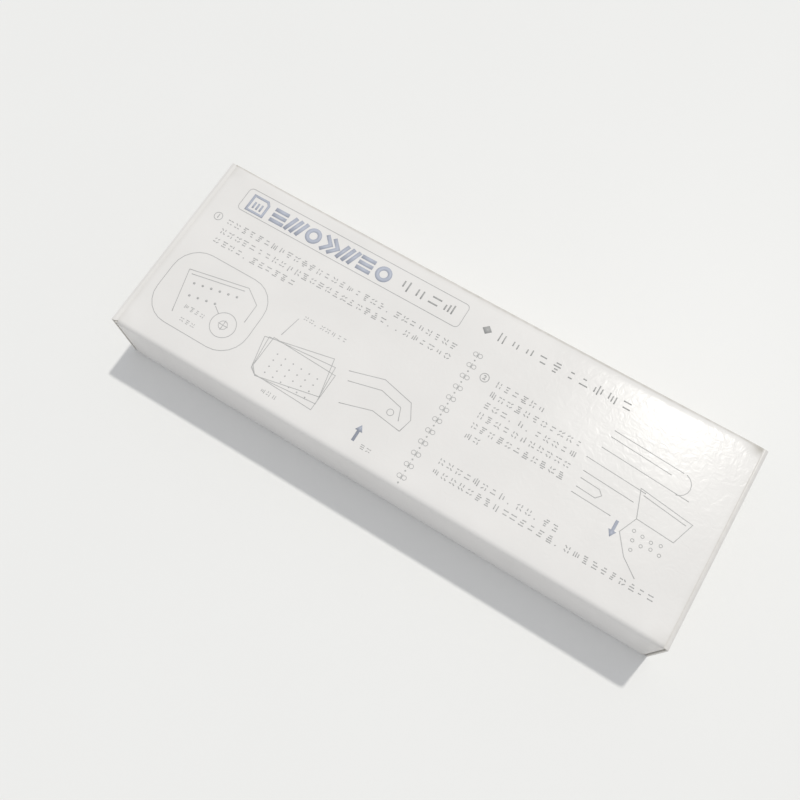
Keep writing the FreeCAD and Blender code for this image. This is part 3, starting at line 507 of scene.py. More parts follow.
def finished(
    name: str,
    bm: bmesh.types.BMesh,
    body: str,
    materials: Sequence[bpy.types.Material],
    stands_for: Sequence[str] = (),
    soil_and_shade: Optional[Callable[[Vector], float]] = None,
    crease: Optional[Crease] = None,
) -> bpy.types.Object:
    """Turns a mesh in millimetres into a piece of the object.

    Args:
        name: The piece's name.
        bm: Its mesh, in millimetres, which is freed.
        body: The body that it moves with, when it has no crease.
        materials: Its materials, the outer one first.
        stands_for: The CAD nodes that it replaces.
        soil_and_shade: How much of the darker tone the surface takes at a point in millimetres, 0 to 1,
            painted shade included.
        crease: The crease of a piece that crosses a joint; such a piece is left in place, unattached.

    Returns:
        The piece.
    """
    soiled_and_shaded = bm.verts.layers.float.new("soil_and_shade")
    place = bm.verts.layers.float_vector.new("place")
    for vert in bm.verts:
        vert[soiled_and_shaded] = soil_and_shade(vert.co) if soil_and_shade else 0.0
        vert[place] = vert.co * MM
    bmesh.ops.scale(bm, vec=(MM, MM, MM), verts=bm.verts)
    for face in bm.faces:
        face.smooth = True
    mesh = bpy.data.meshes.new(name)
    bm.to_mesh(mesh)
    bm.free()
    for material in materials:
        mesh.materials.append(material)
    piece = bpy.data.objects.new(name, mesh)
    bpy.context.scene.collection.objects.link(piece)
    if crease:
        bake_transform(piece)
    else:
        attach(piece, body)
    if stands_for:
        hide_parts(*stands_for)
    LOG.info("%s: %d faces on %s", name, len(mesh.polygons), body)
    return piece


def thicken(piece: bpy.types.Object, wall_mm: float, offset: float, back: int = 0) -> None:
    """Gives a sheet its thickness.

    Args:
        piece: The sheet.
        wall_mm: The thickness.
        offset: -1 to grow it behind the sheet, 0 to both sides.
        back: How much further on in the materials the back's and the rim's lie.
    """
    modifier = piece.modifiers.new("wall", "SOLIDIFY")
    modifier.thickness = wall_mm * MM
    modifier.offset = offset
    modifier.use_even_offset = True
    modifier.material_offset = back
    modifier.material_offset_rim = back


def as_board(piece: bpy.types.Object, wall_mm: float, offset: float, back: int = 0) -> None:
    """Gives a sheet a board's thickness and square cut edges.

    Args:
        piece: The sheet.
        wall_mm: The thickness.
        offset: -1 to grow it behind the sheet, 0 to both sides.
        back: How much further on in the materials the back's and the rim's lie.
    """
    thicken(piece, wall_mm, offset, back)
    edges = piece.modifiers.new("cut_edges", "EDGE_SPLIT")
    edges.split_angle = math.radians(CUT_EDGE_ANGLE)
    edges.use_edge_sharp = False


def arc(centre: Point, radius: float, start: float, end: float, parts: int) -> list[Point]:
    """The points of an arc.

    Args:
        centre: Its centre.
        radius: Its radius.
        start: The angle at which it starts, in degrees.
        end: The angle at which it ends.
        parts: How many chords it has.

    Returns:
        Its points, both ends included.
    """
    points = []
    for step in range(parts + 1):
        angle = math.radians(start + (end - start) * step / parts)
        points.append((centre[0] + radius * math.cos(angle), centre[1] + radius * math.sin(angle)))
    return points


def rounding(radius: float, into: float) -> float:
    """How far a round corner has fallen back at a distance into it, in millimetres."""
    return radius - math.sqrt(max(0.0, radius**2 - into**2))


def fading(distance: float, reach: float) -> float:
    """The share that is left at a distance: all of it at 0, nothing from the reach on."""
    return max(0.0, 1 - distance / reach)


def evenly(points: Sequence[Point], pitch: float, closed: bool = False) -> list[Point]:
    """Adds points along a path's straight runs.

    Args:
        points: The path.
        pitch: The longest run that may stay.
        closed: Whether the path closes.

    Returns:
        The path with the points added.
    """
    runs = list(zip(points, points[1:]))
    if closed:
        runs.append((points[-1], points[0]))
    filled = []
    for (x0, y0), (x1, y1) in runs:
        parts = max(1, math.ceil(math.hypot(x1 - x0, y1 - y0) / pitch))
        filled += [(x0 + (x1 - x0) * step / parts, y0 + (y1 - y0) * step / parts) for step in range(parts)]
    return filled if closed else filled + [points[-1]]


# Carton


@dataclass(frozen=True)
class TopRelief:
    """How the loaded top panel sinks below its highest plane."""

    half_length: float
    half_width: float
    pillow: float = 0.12
    fold_sag: float = 0.30
    fold_reach: float = 4.0
    wave: float = 0.08
    wave_length: float = 26.0
    wave_squeeze: float = 0.7
    wave_level: float = 0.6
    wave_at_edge: float = 0.35
    wave_seed: float = 4.2
    crush: float = 0.25
    crush_place: Point = (98.5, 33.5)
    crush_reach: Point = (4.0, 2.2)

    def drop(self, x: float, y: float) -> float:
        """How far the panel lies below its highest plane.

        Args:
            x: The place along the carton.
            y: The place across it.

        Returns:
            The depth in millimetres.
        """
        along, across = min(1.0, abs(x / self.half_length)), min(1.0, abs(y / self.half_width))
        bulge = (1 - along**4) * (1 - across**5)
        across_wave = self.wave_squeeze * self.wave_length
        swell = noise.noise(Vector((x / self.wave_length, y / across_wave, self.wave_seed)))
        at_fold = fading(self.half_width - abs(y), self.fold_reach)
        sag = self.fold_sag * (1 - along**2) * at_fold**2
        dent_x = (x - self.crush_place[0]) / self.crush_reach[0]
        dent_y = (y - self.crush_place[1]) / self.crush_reach[1]
        dent = self.crush * math.exp(-(dent_x**2) - dent_y**2)
        wave_share = self.wave_at_edge + (1 - self.wave_at_edge) * bulge
        return self.pillow * (1 - bulge) + self.wave * (self.wave_level - swell) * wave_share + sag + dent


@dataclass(frozen=True)
class SoilAndShade:
    """How much of the darker tone the carton takes, 0 to 1, and how far that reaches in millimetres: painted
    shade along the tuck flaps' creases and the top panel's left cut edge, and darkening along folds, ends,
    corners, feet and sides.
    """

    fold: float = 0.25
    fold_reach: float = 1.2
    far_fold_start: float = 0.12
    far_fold_reach: float = 2.4
    end: float = 0.12
    end_reach: float = 1.5
    # Painted shade along the top panel's left cut edge, above the left flap's crease.
    left_cut_shade: float = 0.20
    left_cut_shade_reach: float = 0.7
    corner: float = 0.30
    corner_reach: float = 7.0
    # Painted shade over the right flap's crease and tongue, below the top panel's end.
    right_crease_shade: float = 0.34
    right_crease_shade_start: float = 0.5
    # A painted shade line along the left flap's crease, just past the top panel's end.
    left_crease_shade: float = 0.25
    left_crease_shade_place: float = 1.1
    left_crease_shade_reach: float = 0.35
    foot: float = 0.3
    foot_reach: float = 1.0
    flap_side: float = 0.1
    dust_side: float = 0.15
    side_reach: float = 1.2


@dataclass
class Carton:
    """The printed carton: its sleeve, its two tuck flaps and its four dust flaps."""

    board: float = 0.5
    fold: float = 1.6
    fold_chords: int = 7
    pitch: float = 1.5
    left_margin: float = 2.7
    right_margin: float = 1.8
    left_corner: float = 1.6
    right_corner: float = 0.8
    wall_end: float = 98.85
    wall_bow: float = 0.25
    fold_pull: float = 0.25
    wall_round: float = 1.4
    wall_turn: float = 50.0
    wall_swell: Point = (34.0, 20.0)
    wall_seed: float = 7.0
    wall_lean: float = 0.2
    panel_lean: float = 0.3
    lap_width: float = 14.0
    lap_margin: float = 4.0
    lap_gap: float = 0.05
    lap_steps: int = 60
    flap_side_gap: float = 0.45
    tongue_side_gap: float = 1.15
    flap_drop: float = 0.58
    face_hollow: float = 0.16
    face_swell: Point = (19.0, 13.0)
    face_seed: float = 2.0
    crease: float = 1.2
    crease_chords: int = 9
    tongue: float = 10.0
    tongue_droop: float = 13.0
    tongue_corner: float = 5.0
    dust_length: float = 17.0
    dust_foot: float = 1.6
    dust_slope: float = 0.7
    dust_shoulder: float = 26.1
    dust_top: float = 22.4
    dust_fall: float = 1.9
    dust_seam: float = 2.0
    dust_chords: int = 5
    dust_crease: float = 2.4
    dust_corner: float = 2.0
    dust_pitch: float = 1.3
    dust_rows: int = 16
    shoulder_start: float = 1.2
    shoulder_run: float = 0.9
    foot_round: float = 0.3
    foot_chords: int = 3
    foot_end: float = 1.5
    foot_pitch: float = 0.25
    face_pitch: float = 2.0
    soil_and_shade: SoilAndShade = SoilAndShade()
    half_length: float = field(init=False)
    half_width: float = field(init=False)
    height: float = field(init=False)
    floor_end: float = field(init=False)
    relief: TopRelief = field(init=False)
    coated: bpy.types.Material = field(init=False)
    raw: bpy.types.Material = field(init=False)

    def __post_init__(self) -> None:
        """Reads the carton's outer sizes from the frame, and makes its two finishes."""
        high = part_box("carton_sleeve")[1]
        self.half_width = high.y / MM
        self.height = high.z / MM
        self.floor_end = high.x / MM
        self.half_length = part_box("right_end_flap")[1].x / MM
        self.relief = TopRelief(self.half_length, self.half_width)
        self.coated = CoatedBoard("coated_board", linear(231, 229, 227)).make()
        self.raw = RawBoard().make()

    def top_height(self, x: float, y: float) -> float:
        """The height of the top panel's outer face at a place, in millimetres."""
        return self.height - self.relief.drop(x, y)

    def cross_section(self) -> list[Vector]:
        """The sleeve's outer section across X: four straight sides and four round folds.

        Returns:
            The section's points, at X 0.
        """
        flat_y, flat_z = self.half_width - self.fold, self.height - self.fold
        loop: list[Point] = []
        for y, z, start in (
            (flat_y, self.fold, -90),
            (flat_y, flat_z, 0),
            (-flat_y, flat_z, 90),
            (-flat_y, self.fold, 180),
        ):
            loop += arc((y, z), self.fold, start, start + 90, self.fold_chords)
        return [Vector((0, y, z)) for y, z in evenly(loop, self.pitch, closed=True)]

    def corner_inset(self, y: float, radius: float) -> float:
        """How far a rounded corner sets the top panel's end back.

        Args:
            y: The place across the carton.
            radius: The corner's radius.

        Returns:
            The inset in millimetres.
        """
        to_side = min(radius, self.half_width - abs(y))
        return rounding(radius, radius - to_side)

    def ends(self, y: float, z: float) -> Point:
        """Where the sleeve starts and ends along X.

        Args:
            y: The section's point across the carton.
            z: Its height.

        Returns:
            The start and the end.
        """
        if z < self.fold:
            return -self.floor_end, self.floor_end
        below = min(1.0, (self.height - z) / self.fold)
        to_wall = below * below * (3 - 2 * below)
        start = self.left_margin + self.corner_inset(y, self.left_corner) - self.half_length
        end = self.half_length - self.right_margin - self.corner_inset(y, self.right_corner)
        return start + (-self.wall_end - start) * to_wall, end + (self.wall_end - end) * to_wall

    def sleeve_soil_and_shade(self, point: Vector) -> float:
        """How much of the darker tone the sleeve takes: along its folds, most along the far fold, at the cut
        ends and at the corners, with painted shade along the top panel's left cut edge.

        Args:
            point: The point of its surface.

        Returns:
            The share of the darker tone, 0 to 1.
        """
        soil_and_shade = self.soil_and_shade
        to_fold_y = self.half_width - abs(point.y)
        to_fold_z = self.height - point.z
        at_fold = fading(math.hypot(to_fold_y, to_fold_z), soil_and_shade.fold_reach) * soil_and_shade.fold
        if point.y > 0 and point.z > self.height / 2:
            past_start = to_fold_z / self.fold / soil_and_shade.far_fold_start - 1
            at_fold = min(1.0, max(0.0, past_start)) * fading(to_fold_z, soil_and_shade.far_fold_reach)
        to_end = self.half_length - self.right_margin - abs(point.x)
        at_end = fading(to_end, soil_and_shade.end_reach) * soil_and_shade.end
        # Painted shade along the top panel's left cut edge.
        if point.x < 0 and point.z > self.height - self.fold:
            to_cut = self.half_length - self.left_margin - abs(point.x)
            at_end = min(1.0, fading(to_cut, soil_and_shade.left_cut_shade_reach)) * soil_and_shade.left_cut_shade
        at_corner = fading(math.hypot(to_end, to_fold_y), soil_and_shade.corner_reach) * soil_and_shade.corner
        return min(1.0, at_fold + at_end + at_corner)

    def wall_inset(self, x: float) -> float:
        """How far the wall has turned inward near its end.

        Args:
            x: The place along the carton.

        Returns:
            The inset in millimetres.
        """
        into = abs(x) - self.wall_end + self.wall_round * math.sin(math.radians(self.wall_turn))
        return rounding(self.wall_round, max(0.0, min(into, self.wall_round)))

    def from_the_middle(self, point: Vector) -> Vector:
        """The way out of the sleeve at a point of its surface.

        Args:
            point: The point.

        Returns:
            The direction.
        """
        lift = point.z - self.height / 2
        if abs(point.y) > self.half_width - self.fold:
            return Vector((0, point.y, self.wall_lean * lift))
        return Vector((0, self.panel_lean * point.y, lift))

    def sleeve(self) -> None:
        """Builds the four-sided tube with its soft folds and its swollen top panel."""
        steps = round(2 * self.half_length / self.pitch)
        bm = drawn_out(self.cross_section(), True, Vector((1, 0, 0)), steps)
        for vert in bm.verts:
            share, (y, z) = vert.co.x, vert.co.yz
            start, end = self.ends(y, z)
            x = start + (end - start) * share
            in_top = min(1.0, max(0.0, (z - self.height + self.fold) / self.fold))
            up = math.sin(math.pi * min(1.0, max(0.0, z / self.height)))
            swell_place = (x / self.wall_swell[0], z / self.wall_swell[1], math.copysign(self.wall_seed, y))
            swell = noise.noise(Vector(swell_place))
            middle = 1 - (x / self.half_length) ** 4
            bow = (self.wall_bow * up * (0.5 - 0.5 * swell) + self.fold_pull * z / self.height) * middle
            upright = min(1.0, max(0.0, min(z, self.height - z) / self.fold))
            pull = bow + self.wall_inset(x) * upright if abs(y) > self.half_width - self.fold else 0
            vert.co = Vector((x, y - math.copysign(pull, y), z - in_top * self.relief.drop(x, y)))
        turn_towards(bm, self.from_the_middle)
        piece = finished(
            "carton_sleeve_board",
            bm,
            "carton",
            [self.coated, self.raw],
            ["carton_sleeve"],
            self.sleeve_soil_and_shade,
        )
        as_board(piece, self.board, -1, 1)

    def glued_lap(self) -> None:
        """Builds the lap glued inside the far wall."""
        half = self.wall_end - self.lap_margin
        y = self.half_width - self.board - self.wall_bow - self.lap_gap
        heights = evenly([(self.fold, 0), (self.fold + self.lap_width, 0)], 2 * self.pitch)
        points = [Vector((-half, y, height)) for height, _ in heights]
        bm = drawn_out(points, False, Vector((2 * half, 0, 0)), self.lap_steps)
        turn_towards(bm, lambda _point: Vector((0, 1, 0)))
        piece = finished("glued_lap", bm, "carton", [self.raw])
        as_board(piece, self.board, -1)

    def flap_path(self) -> list[Point]:
        """The middle line of an end flap: up the end, round the crease and down the tongue.

        Returns:
            Its points as (X, Z).
        """
        line = self.half_length - self.board / 2
        foot_centre = (self.floor_end, self.board / 2 + self.foot_round)
        foot = arc(foot_centre, self.foot_round, -90, 0, self.foot_chords)
        radius = self.crease - self.board / 2
        crease_z = self.height - self.flap_drop - self.crease
        turn = 90 + self.tongue_droop
        bend = arc((line - radius, crease_z), radius, 0, turn, self.crease_chords)
        last = bend[-1]
        droop = math.radians(self.tongue_droop)
        length = self.tongue - self.crease
        tip = (last[0] - length * math.cos(droop), last[1] - length * math.sin(droop))
        foot_end = (line, self.foot_end)
        rise = evenly([foot[-1], foot_end], self.foot_pitch)
        face = evenly([foot_end, bend[0]], self.face_pitch)[1:-1]
        return foot[:-1] + rise + face + bend + evenly([last, tip], self.pitch)[1:]

    def flap_soil_and_shade(self, point: Vector) -> float:
        """How much of the darker tone an end flap takes: painted shade along its crease below the top panel's
        end, and darker at its foot and its sides.

        Args:
            point: The point of its surface.

        Returns:
            The share of the darker tone, 0 to 1.
        """
        soil_and_shade = self.soil_and_shade
        at_crease = 0.0
        # Painted shade on the crease, which lies below the top panel: over the right flap's crease and
        # tongue, and in a thin line on the left one.
        if point.z > self.height - self.flap_drop - self.crease:
            out = self.half_length - abs(point.x)
            if point.x > 0:
                at_crease = soil_and_shade.right_crease_shade * min(1.0, out / soil_and_shade.right_crease_shade_start)
            else:
                beside = abs(out - soil_and_shade.left_crease_shade_place)
                at_crease = soil_and_shade.left_crease_shade * fading(beside, soil_and_shade.left_crease_shade_reach)
        at_foot = soil_and_shade.foot * fading(point.z, soil_and_shade.foot_reach)
        to_side = self.half_width - self.flap_side_gap - abs(point.y)
        return min(1.0, at_crease + at_foot + soil_and_shade.flap_side * fading(to_side, soil_and_shade.side_reach))

    def dust_soil_and_shade(self, point: Vector) -> float:
        """How much darker a dust flap is: along its crease at the wall."""
        return self.soil_and_shade.dust_side * fading(self.half_width - abs(point.y), self.soil_and_shade.side_reach)

    def hollow(self, point: Vector, side: int, half: float) -> float:
        """How far an end flap's face has sunk in.

        Args:
            point: The point of the face.
            side: 1 at the nose's end, -1 at the tail's.
            half: Half of the flap's width.

        Returns:
            The depth in millimetres.
        """
        up = math.sin(math.pi * min(1.0, point.z / self.height))
        across = 1 - (point.y / half) ** 2
        swell_place = (point.y / self.face_swell[0], point.z / self.face_swell[1], self.face_seed * side)
        return self.face_hollow * up * (0.5 + 0.5 * noise.noise(Vector(swell_place))) * across

    def end_flap(self, side: int) -> None:
        """Builds one tuck-in end flap.

        Args:
            side: 1 at the nose's end, -1 at the tail's.
        """
        word = "right" if side > 0 else "left"
        half = self.half_width - self.flap_side_gap
        path = self.flap_path()
        tip_x = path[-1][0]
        points = [Vector((side * x, -half, z)) for x, z in path]
        bm = drawn_out(points, False, Vector((0, 2 * half, 0)), round(2 * half / self.pitch))
        for vert in bm.verts:
            if vert.co.z > self.height / 2 and abs(vert.co.x) < self.half_length - self.left_margin:
                vert.co.y *= (self.half_width - self.tongue_side_gap) / half
            to_tip = abs(vert.co.x) - tip_x
            if to_tip < self.tongue_corner:
                vert.co.y *= (half - rounding(self.tongue_corner, self.tongue_corner - to_tip)) / half
            if abs(vert.co.x) > self.half_length - self.board:
                vert.co.x -= side * self.hollow(vert.co, side, half)
        middle_x, middle_z = side * (self.half_length - self.tongue), self.height / 2
        turn_towards(bm, lambda point: point - Vector((middle_x, point.y, middle_z)))
        crease_start = Vector((side * self.floor_end, 0, 0))
        crease_end = Vector((side * self.half_length, 0, self.foot_end))
        piece = finished(
            f"{word}_end_flap_board",
            bm,
            f"{word}_flap",
            [self.coated, self.raw],
            [f"{word}_end_flap"],
            self.flap_soil_and_shade,
            Crease("carton", crease_start, crease_end),
        )
        as_board(piece, self.board, 0, 1)

    def dust_flap(self, side: int, wall: int) -> None:
        """Builds one dust flap with its crease on the wall's end.

        Args:
            side: 1 at the nose's end, -1 at the tail's.
            wall: 1 on the far wall, -1 on the near one.
        """
        word = f"{'right' if side > 0 else 'left'}_{'far' if wall > 0 else 'near'}"
        wall_line = self.half_width - self.board / 2
        turn = math.radians(self.wall_turn)
        centre = (self.wall_end - self.wall_round * math.sin(turn), self.half_width - self.wall_round)
        radius = self.wall_round - self.board / 2
        bend = arc(centre, radius, 90 - self.wall_turn - self.dust_seam, 0, self.dust_chords)
        line, seam = bend[-1][0], bend[0][1]
        tip = wall_line - self.dust_length + self.board / 2
        path = bend + evenly([(line, centre[1]), (line, tip)], self.dust_pitch)[1:]
        points = [Vector((side * x, wall * y, 0)) for x, y in path]
        bm = drawn_out(points, False, Vector((0, 0, 1)), self.dust_rows)
        for vert in bm.verts:
            into = wall_line + self.board / 2 - abs(vert.co.y)
            foot = self.dust_foot + self.dust_slope * into
            shoulder = self.dust_shoulder - self.dust_top
            top = self.dust_top - self.dust_fall * into / self.dust_length
            top += shoulder * fading(max(0.0, into - self.shoulder_start), self.shoulder_run)
            pinch = rounding(self.dust_corner, max(0.0, into - self.dust_length + self.dust_corner))
            low, high = foot + pinch, top - pinch
            vert.co.z = low + (high - low) * vert.co.z
        turn_towards(bm, lambda _point: Vector((side, 0.4 * wall, 0)))
        piece = finished(
            f"{word}_dust_flap_board",
            bm,
            f"{word}_dust",
            [self.coated, self.raw],
            [f"{word}_dust_flap"],
            self.dust_soil_and_shade,
            Crease("carton", Vector((0, wall * seam, 0)), Vector((0, wall * (seam - self.dust_crease), 0))),
        )
        as_board(piece, self.board, 0, 1)

    def build(self) -> None:
        """Builds every piece of the carton."""
        self.sleeve()
        self.glued_lap()
        for side in (1, -1):
            self.end_flap(side)
            for wall in (1, -1):
                self.dust_flap(side, wall)


# Print


class Ink(Enum):
    """The printing inks, as they look on the board."""

    LINE = ("line_ink", (190, 190, 189))
    TEXT = ("text_ink", (188, 188, 187))
    HEAD = ("heading_ink", (174, 174, 173))
    BLUE = ("blue_ink", (181, 186, 199))

    def finish(self) -> CoatedBoard:
        """The ink's finish: the board's gloss over its own colour."""
        name, colour = self.value
        return CoatedBoard(name, linear(*colour), mottle=0.06)


@dataclass
class Plate:
    """One printing plate: flat marks in one ink, laid on the top panel.

    Places are in millimetres from the panel's left end and from its far edge.
    """

    name: str
    ink: Ink
    carton: Carton
    lift: float = 0.045
    film: float = 0.07
    pitch: float = 3.0
    mitre_limit: float = 0.5
    digit_size: float = 1.45
    digit_weight: float = 0.06
    bm: bmesh.types.BMesh = field(default_factory=bmesh.new)

    def at(self, u: float, v: float) -> Point:
        """Finds a place of the panel.

        Args:
            u: How far it is from the left end.
            v: How far it is from the far edge.

        Returns:
            Its X and Y.
        """
        return u - self.carton.half_length, self.carton.half_width - v

    def stroke(self, points: Sequence[Point], width: float, closed: bool = False) -> None:
        """Draws a line of one width along a path.

        Args:
            points: The path.
            width: The line's width.
            closed: Whether the path closes.
        """
        path = [Vector(self.at(*point)) for point in evenly(points, self.pitch, closed)]
        count = len(path)
        sides: list[list[Vector]] = [[], []]
        for number, here in enumerate(path):
            before = path[number - 1] if number or closed else here
            after = path[(number + 1) % count] if number < count - 1 or closed else here
            into, out = (here - before).normalized(), (after - here).normalized()
            along = (into + out).normalized()
            across = Vector((-along.y, along.x))
            stretch = max(self.mitre_limit, across.dot(Vector((-out.y, out.x))) if out.length else 1.0)
            for side, sign in zip(sides, (1, -1)):
                side.append((here + across * sign * width / 2 / stretch).to_3d())
        edges = chain(self.bm, sides[0], closed) + chain(self.bm, sides[1], closed)
        bmesh.ops.bridge_loops(self.bm, edges=edges)

    def bar(self, u: float, v: float, width: float, height: float, turn: float = 0.0) -> None:
        """Draws a solid bar.

        Args:
            u: Its middle along the panel.
            v: Its middle across it.
            width: Its width.
            height: Its height.
            turn: How far it is turned, in degrees.
        """
        place = Matrix.Translation(Vector(self.at(u, v)).to_3d())
        shape = Matrix.Rotation(math.radians(turn), 4, "Z") @ Matrix.Diagonal((width, height, 1, 1))
        bmesh.ops.create_grid(self.bm, x_segments=1, y_segments=1, size=0.5, matrix=place @ shape)

    def disc(self, u: float, v: float, radius: float, sides: int = 12) -> None:
        """Draws a filled round dot.

        Args:
            u: Its middle along the panel.
            v: Its middle across it.
            radius: Its radius.
            sides: How many sides stand for the circle.
        """
        place = Matrix.Translation(Vector(self.at(u, v)).to_3d())
        bmesh.ops.create_circle(self.bm, cap_ends=True, segments=sides, radius=radius, matrix=place)

    def ring(self, u: float, v: float, radius: float, width: float, sides: int = 20) -> None:
        """Draws a round outline.

        Args:
            u: Its middle along the panel.
            v: Its middle across it.
            radius: The radius of the line's middle.
            width: The line's width.
            sides: How many sides stand for the circle.
        """
        place = Matrix.Translation(Vector(self.at(u, v)).to_3d())
        edges: list[bmesh.types.BMEdge] = []
        for reach in (radius - width / 2, radius + width / 2):
            made = bmesh.ops.create_circle(self.bm, segments=sides, radius=reach, matrix=place)
            edges += list({edge for vert in made["verts"] for edge in vert.link_edges})
        bmesh.ops.bridge_loops(self.bm, edges=edges)

    def polygon(self, points: Sequence[Point]) -> None:
        """Draws a filled outline through some points."""
        verts = [self.bm.verts.new(Vector(self.at(*point)).to_3d()) for point in points]
        self.bm.faces.new(verts)

    def digit(self, text: str, u: float, v: float, height: float) -> None:
        """Draws a plain digit.

        Args:
            text: The digit.
            u: Its middle along the panel.
            v: Its middle across it.
            height: Its height.
        """
        curve = bpy.data.curves.new("digit", "FONT")
        curve.body = text
        curve.size = height * self.digit_size
        curve.align_x, curve.align_y = "CENTER", "CENTER"
        curve.offset = self.digit_weight
        holder = bpy.data.objects.new("digit", curve)
        flat = bpy.data.meshes.new_from_object(holder)
        flat.transform(Matrix.Translation(Vector(self.at(u, v)).to_3d()))
        self.bm.from_mesh(flat)
        bpy.data.objects.remove(holder)
        bpy.data.curves.remove(curve)
        bpy.data.meshes.remove(flat)

    def print(self) -> None:
        """Lays the marks on the swollen panel and finishes the piece."""
        for vert in self.bm.verts:
            vert.co.z = self.carton.top_height(vert.co.x, vert.co.y) + self.lift
        turn_towards(self.bm, lambda _point: Vector((0, 0, 1)))
        piece = finished(self.name, self.bm, "carton", [self.ink.finish().make()])
        thicken(piece, self.film, -1)


@dataclass
class PanelPrint:
    """The instruction panel's print, in generic marks: rules, dots, dashes, plain digits and cards."""

    carton: Carton
    hair: float = 0.22
    small_em: float = 1.7
    small_pitch: float = 2.1
    weight_share: float = 0.135
    dot_share: float = 0.06
    dot_radius: float = 0.22
    number_height: float = 1.5
    number_ring: float = 1.45
    number_line: float = 0.26
    seed: int = 41
    chance: random.Random = field(init=False)

    def __post_init__(self) -> None:
        """Starts the one source of chance for the marks."""
        self.chance = random.Random(self.seed)

    def rounded_box(self, left: float, right: float, top: float, bottom: float, radius: float) -> list[Point]:
        """The path of a rectangle with round corners.

        Args:
            left: Its left side.
            right: Its right side.
            top: Its far side.
            bottom: Its near side.
            radius: Its corners' radius.

        Returns:
            The path's points.
        """
        path: list[Point] = []
        for u, v, start in (
            (right - radius, bottom - radius, 0),
            (left + radius, bottom - radius, 90),
            (left + radius, top + radius, 180),
            (right - radius, top + radius, 270),
        ):
            path += arc((u, v), radius, start, start + 90, 6)
        return path

    def mark(
        self,
        plate: Plate,
        u: float,
        v: float,
        em: float,
        weight: float,
        kinds: Sequence[str] = ("stack", "stack", "posts", "scatter", "scatter"),
    ) -> None:
        """Draws one filler mark of dashes, ticks and dots in a square cell.

        Args:
            plate: The plate that it goes on.
            u: The cell's middle along the panel.
            v: The cell's middle across it.
            em: The cell's side.
            weight: The strokes' width.
            kinds: The kinds that it is chosen from.
        """
        kind = self.chance.choice(kinds)
        if kind == "stack":
            for row in self.chance.choice(((-0.36, 0.0, 0.36), (-0.28, 0.24), (-0.4, -0.12, 0.16, 0.42))):
                length = em * self.chance.uniform(0.3, 0.8)
                plate.bar(u + em * self.chance.uniform(-0.1, 0.1), v + row * em, length, weight)
        elif kind == "posts":
            for column in self.chance.choice(((-0.3, 0.0, 0.3), (-0.2, 0.22))):
                length = em * self.chance.uniform(0.4, 0.9)
                plate.bar(u + column * em, v + em * self.chance.uniform(-0.1, 0.1), weight, length)
        else:
            for column in (-0.24, 0.24):
                for row in (-0.27, 0.25):
                    turn = self.chance.choice((-40, 0, 35, 90))
                    length = em * self.chance.uniform(0.25, 0.42)
                    plate.bar(u + column * em, v + row * em, length, weight, turn)

    def row(
        self, plate: Plate, left: float, right: float, v: float, em: float = 2.35, pitch: float = 3.0
    ) -> None:
        """Draws a row of filler marks.

        Args:
            plate: The plate that it goes on.
            left: Where it starts.
            right: Where it ends.
            v: Its middle across the panel.
            em: The marks' size.
            pitch: The distance from one to the next.
        """
        count = int((right - left) / pitch)
        for number in range(count):
            if self.chance.random() < self.dot_share:
                plate.disc(left + (number + 0.3) * pitch, v + em * 0.35, self.dot_radius, 8)
            else:
                self.mark(plate, left + (number + 0.5) * pitch, v, em, em * self.weight_share)

    def title(self) -> None:
        """The framed title band: a plain frame, heavy blue blocks and lighter grey ones."""
        outline = Plate("print_title_frame", Ink.LINE, self.carton)
        outline.stroke(self.rounded_box(12.0, 98.3, 5.4, 14.4, 1.5), self.hair, closed=True)
        outline.print()
        blue = Plate("print_title_blocks", Ink.BLUE, self.carton)
        top, bottom = 7.3, 13.1
        card = [(14.9, top), (20.2, top), (21.2, top + 1.2), (21.2, bottom), (14.9, bottom)]
        blue.stroke(card, 0.9, closed=True)
        for number in range(3):
            blue.bar(16.6 + 1.4 * number, 10.6, 0.7, 2.6)
        middle = (top + bottom) / 2
        for number, motif in enumerate(("stack", "slant", "ring", "arrow", "slant", "stack", "ring")):
            u = 26.6 + 6.9 * number
            if motif == "stack":
                for shift in (-2.1, 0.0, 2.1):
                    blue.bar(u, middle + shift, 5.4, 1.4)
            elif motif == "slant":
                for shift in (-2.2, 0.0, 2.2):
                    blue.bar(u + shift, middle, 1.4, 6.0, -20)
            elif motif == "ring":
                blue.ring(u, middle, 2.15, 1.5, 28)
            else:
                for shift in (-1.5, 1.3):
                    tail, tip = u + shift - 1.3, u + shift + 1.5
                    blue.stroke([(tail, top), (tip, middle), (tail, bottom)], 1.35)
        blue.print()
        grey = Plate("print_title_tail", Ink.HEAD, self.carton)
        for number in range(4):
            self.mark(grey, 76.5 + 5.4 * number, 9.9, 4.4, 0.52, ("stack", "posts"))
        grey.print()

    def step_number(self, plate: Plate, digit: str, u: float, v: float) -> None:
        """A step's plain number in a small ring.

        Args:
            plate: The plate that it goes on.
            digit: The number.
            u: Its middle along the panel.
            v: Its middle across it.
        """
        plate.ring(u, v, self.number_ring, self.number_line, 24)
        plate.digit(digit, u, v, self.number_height)

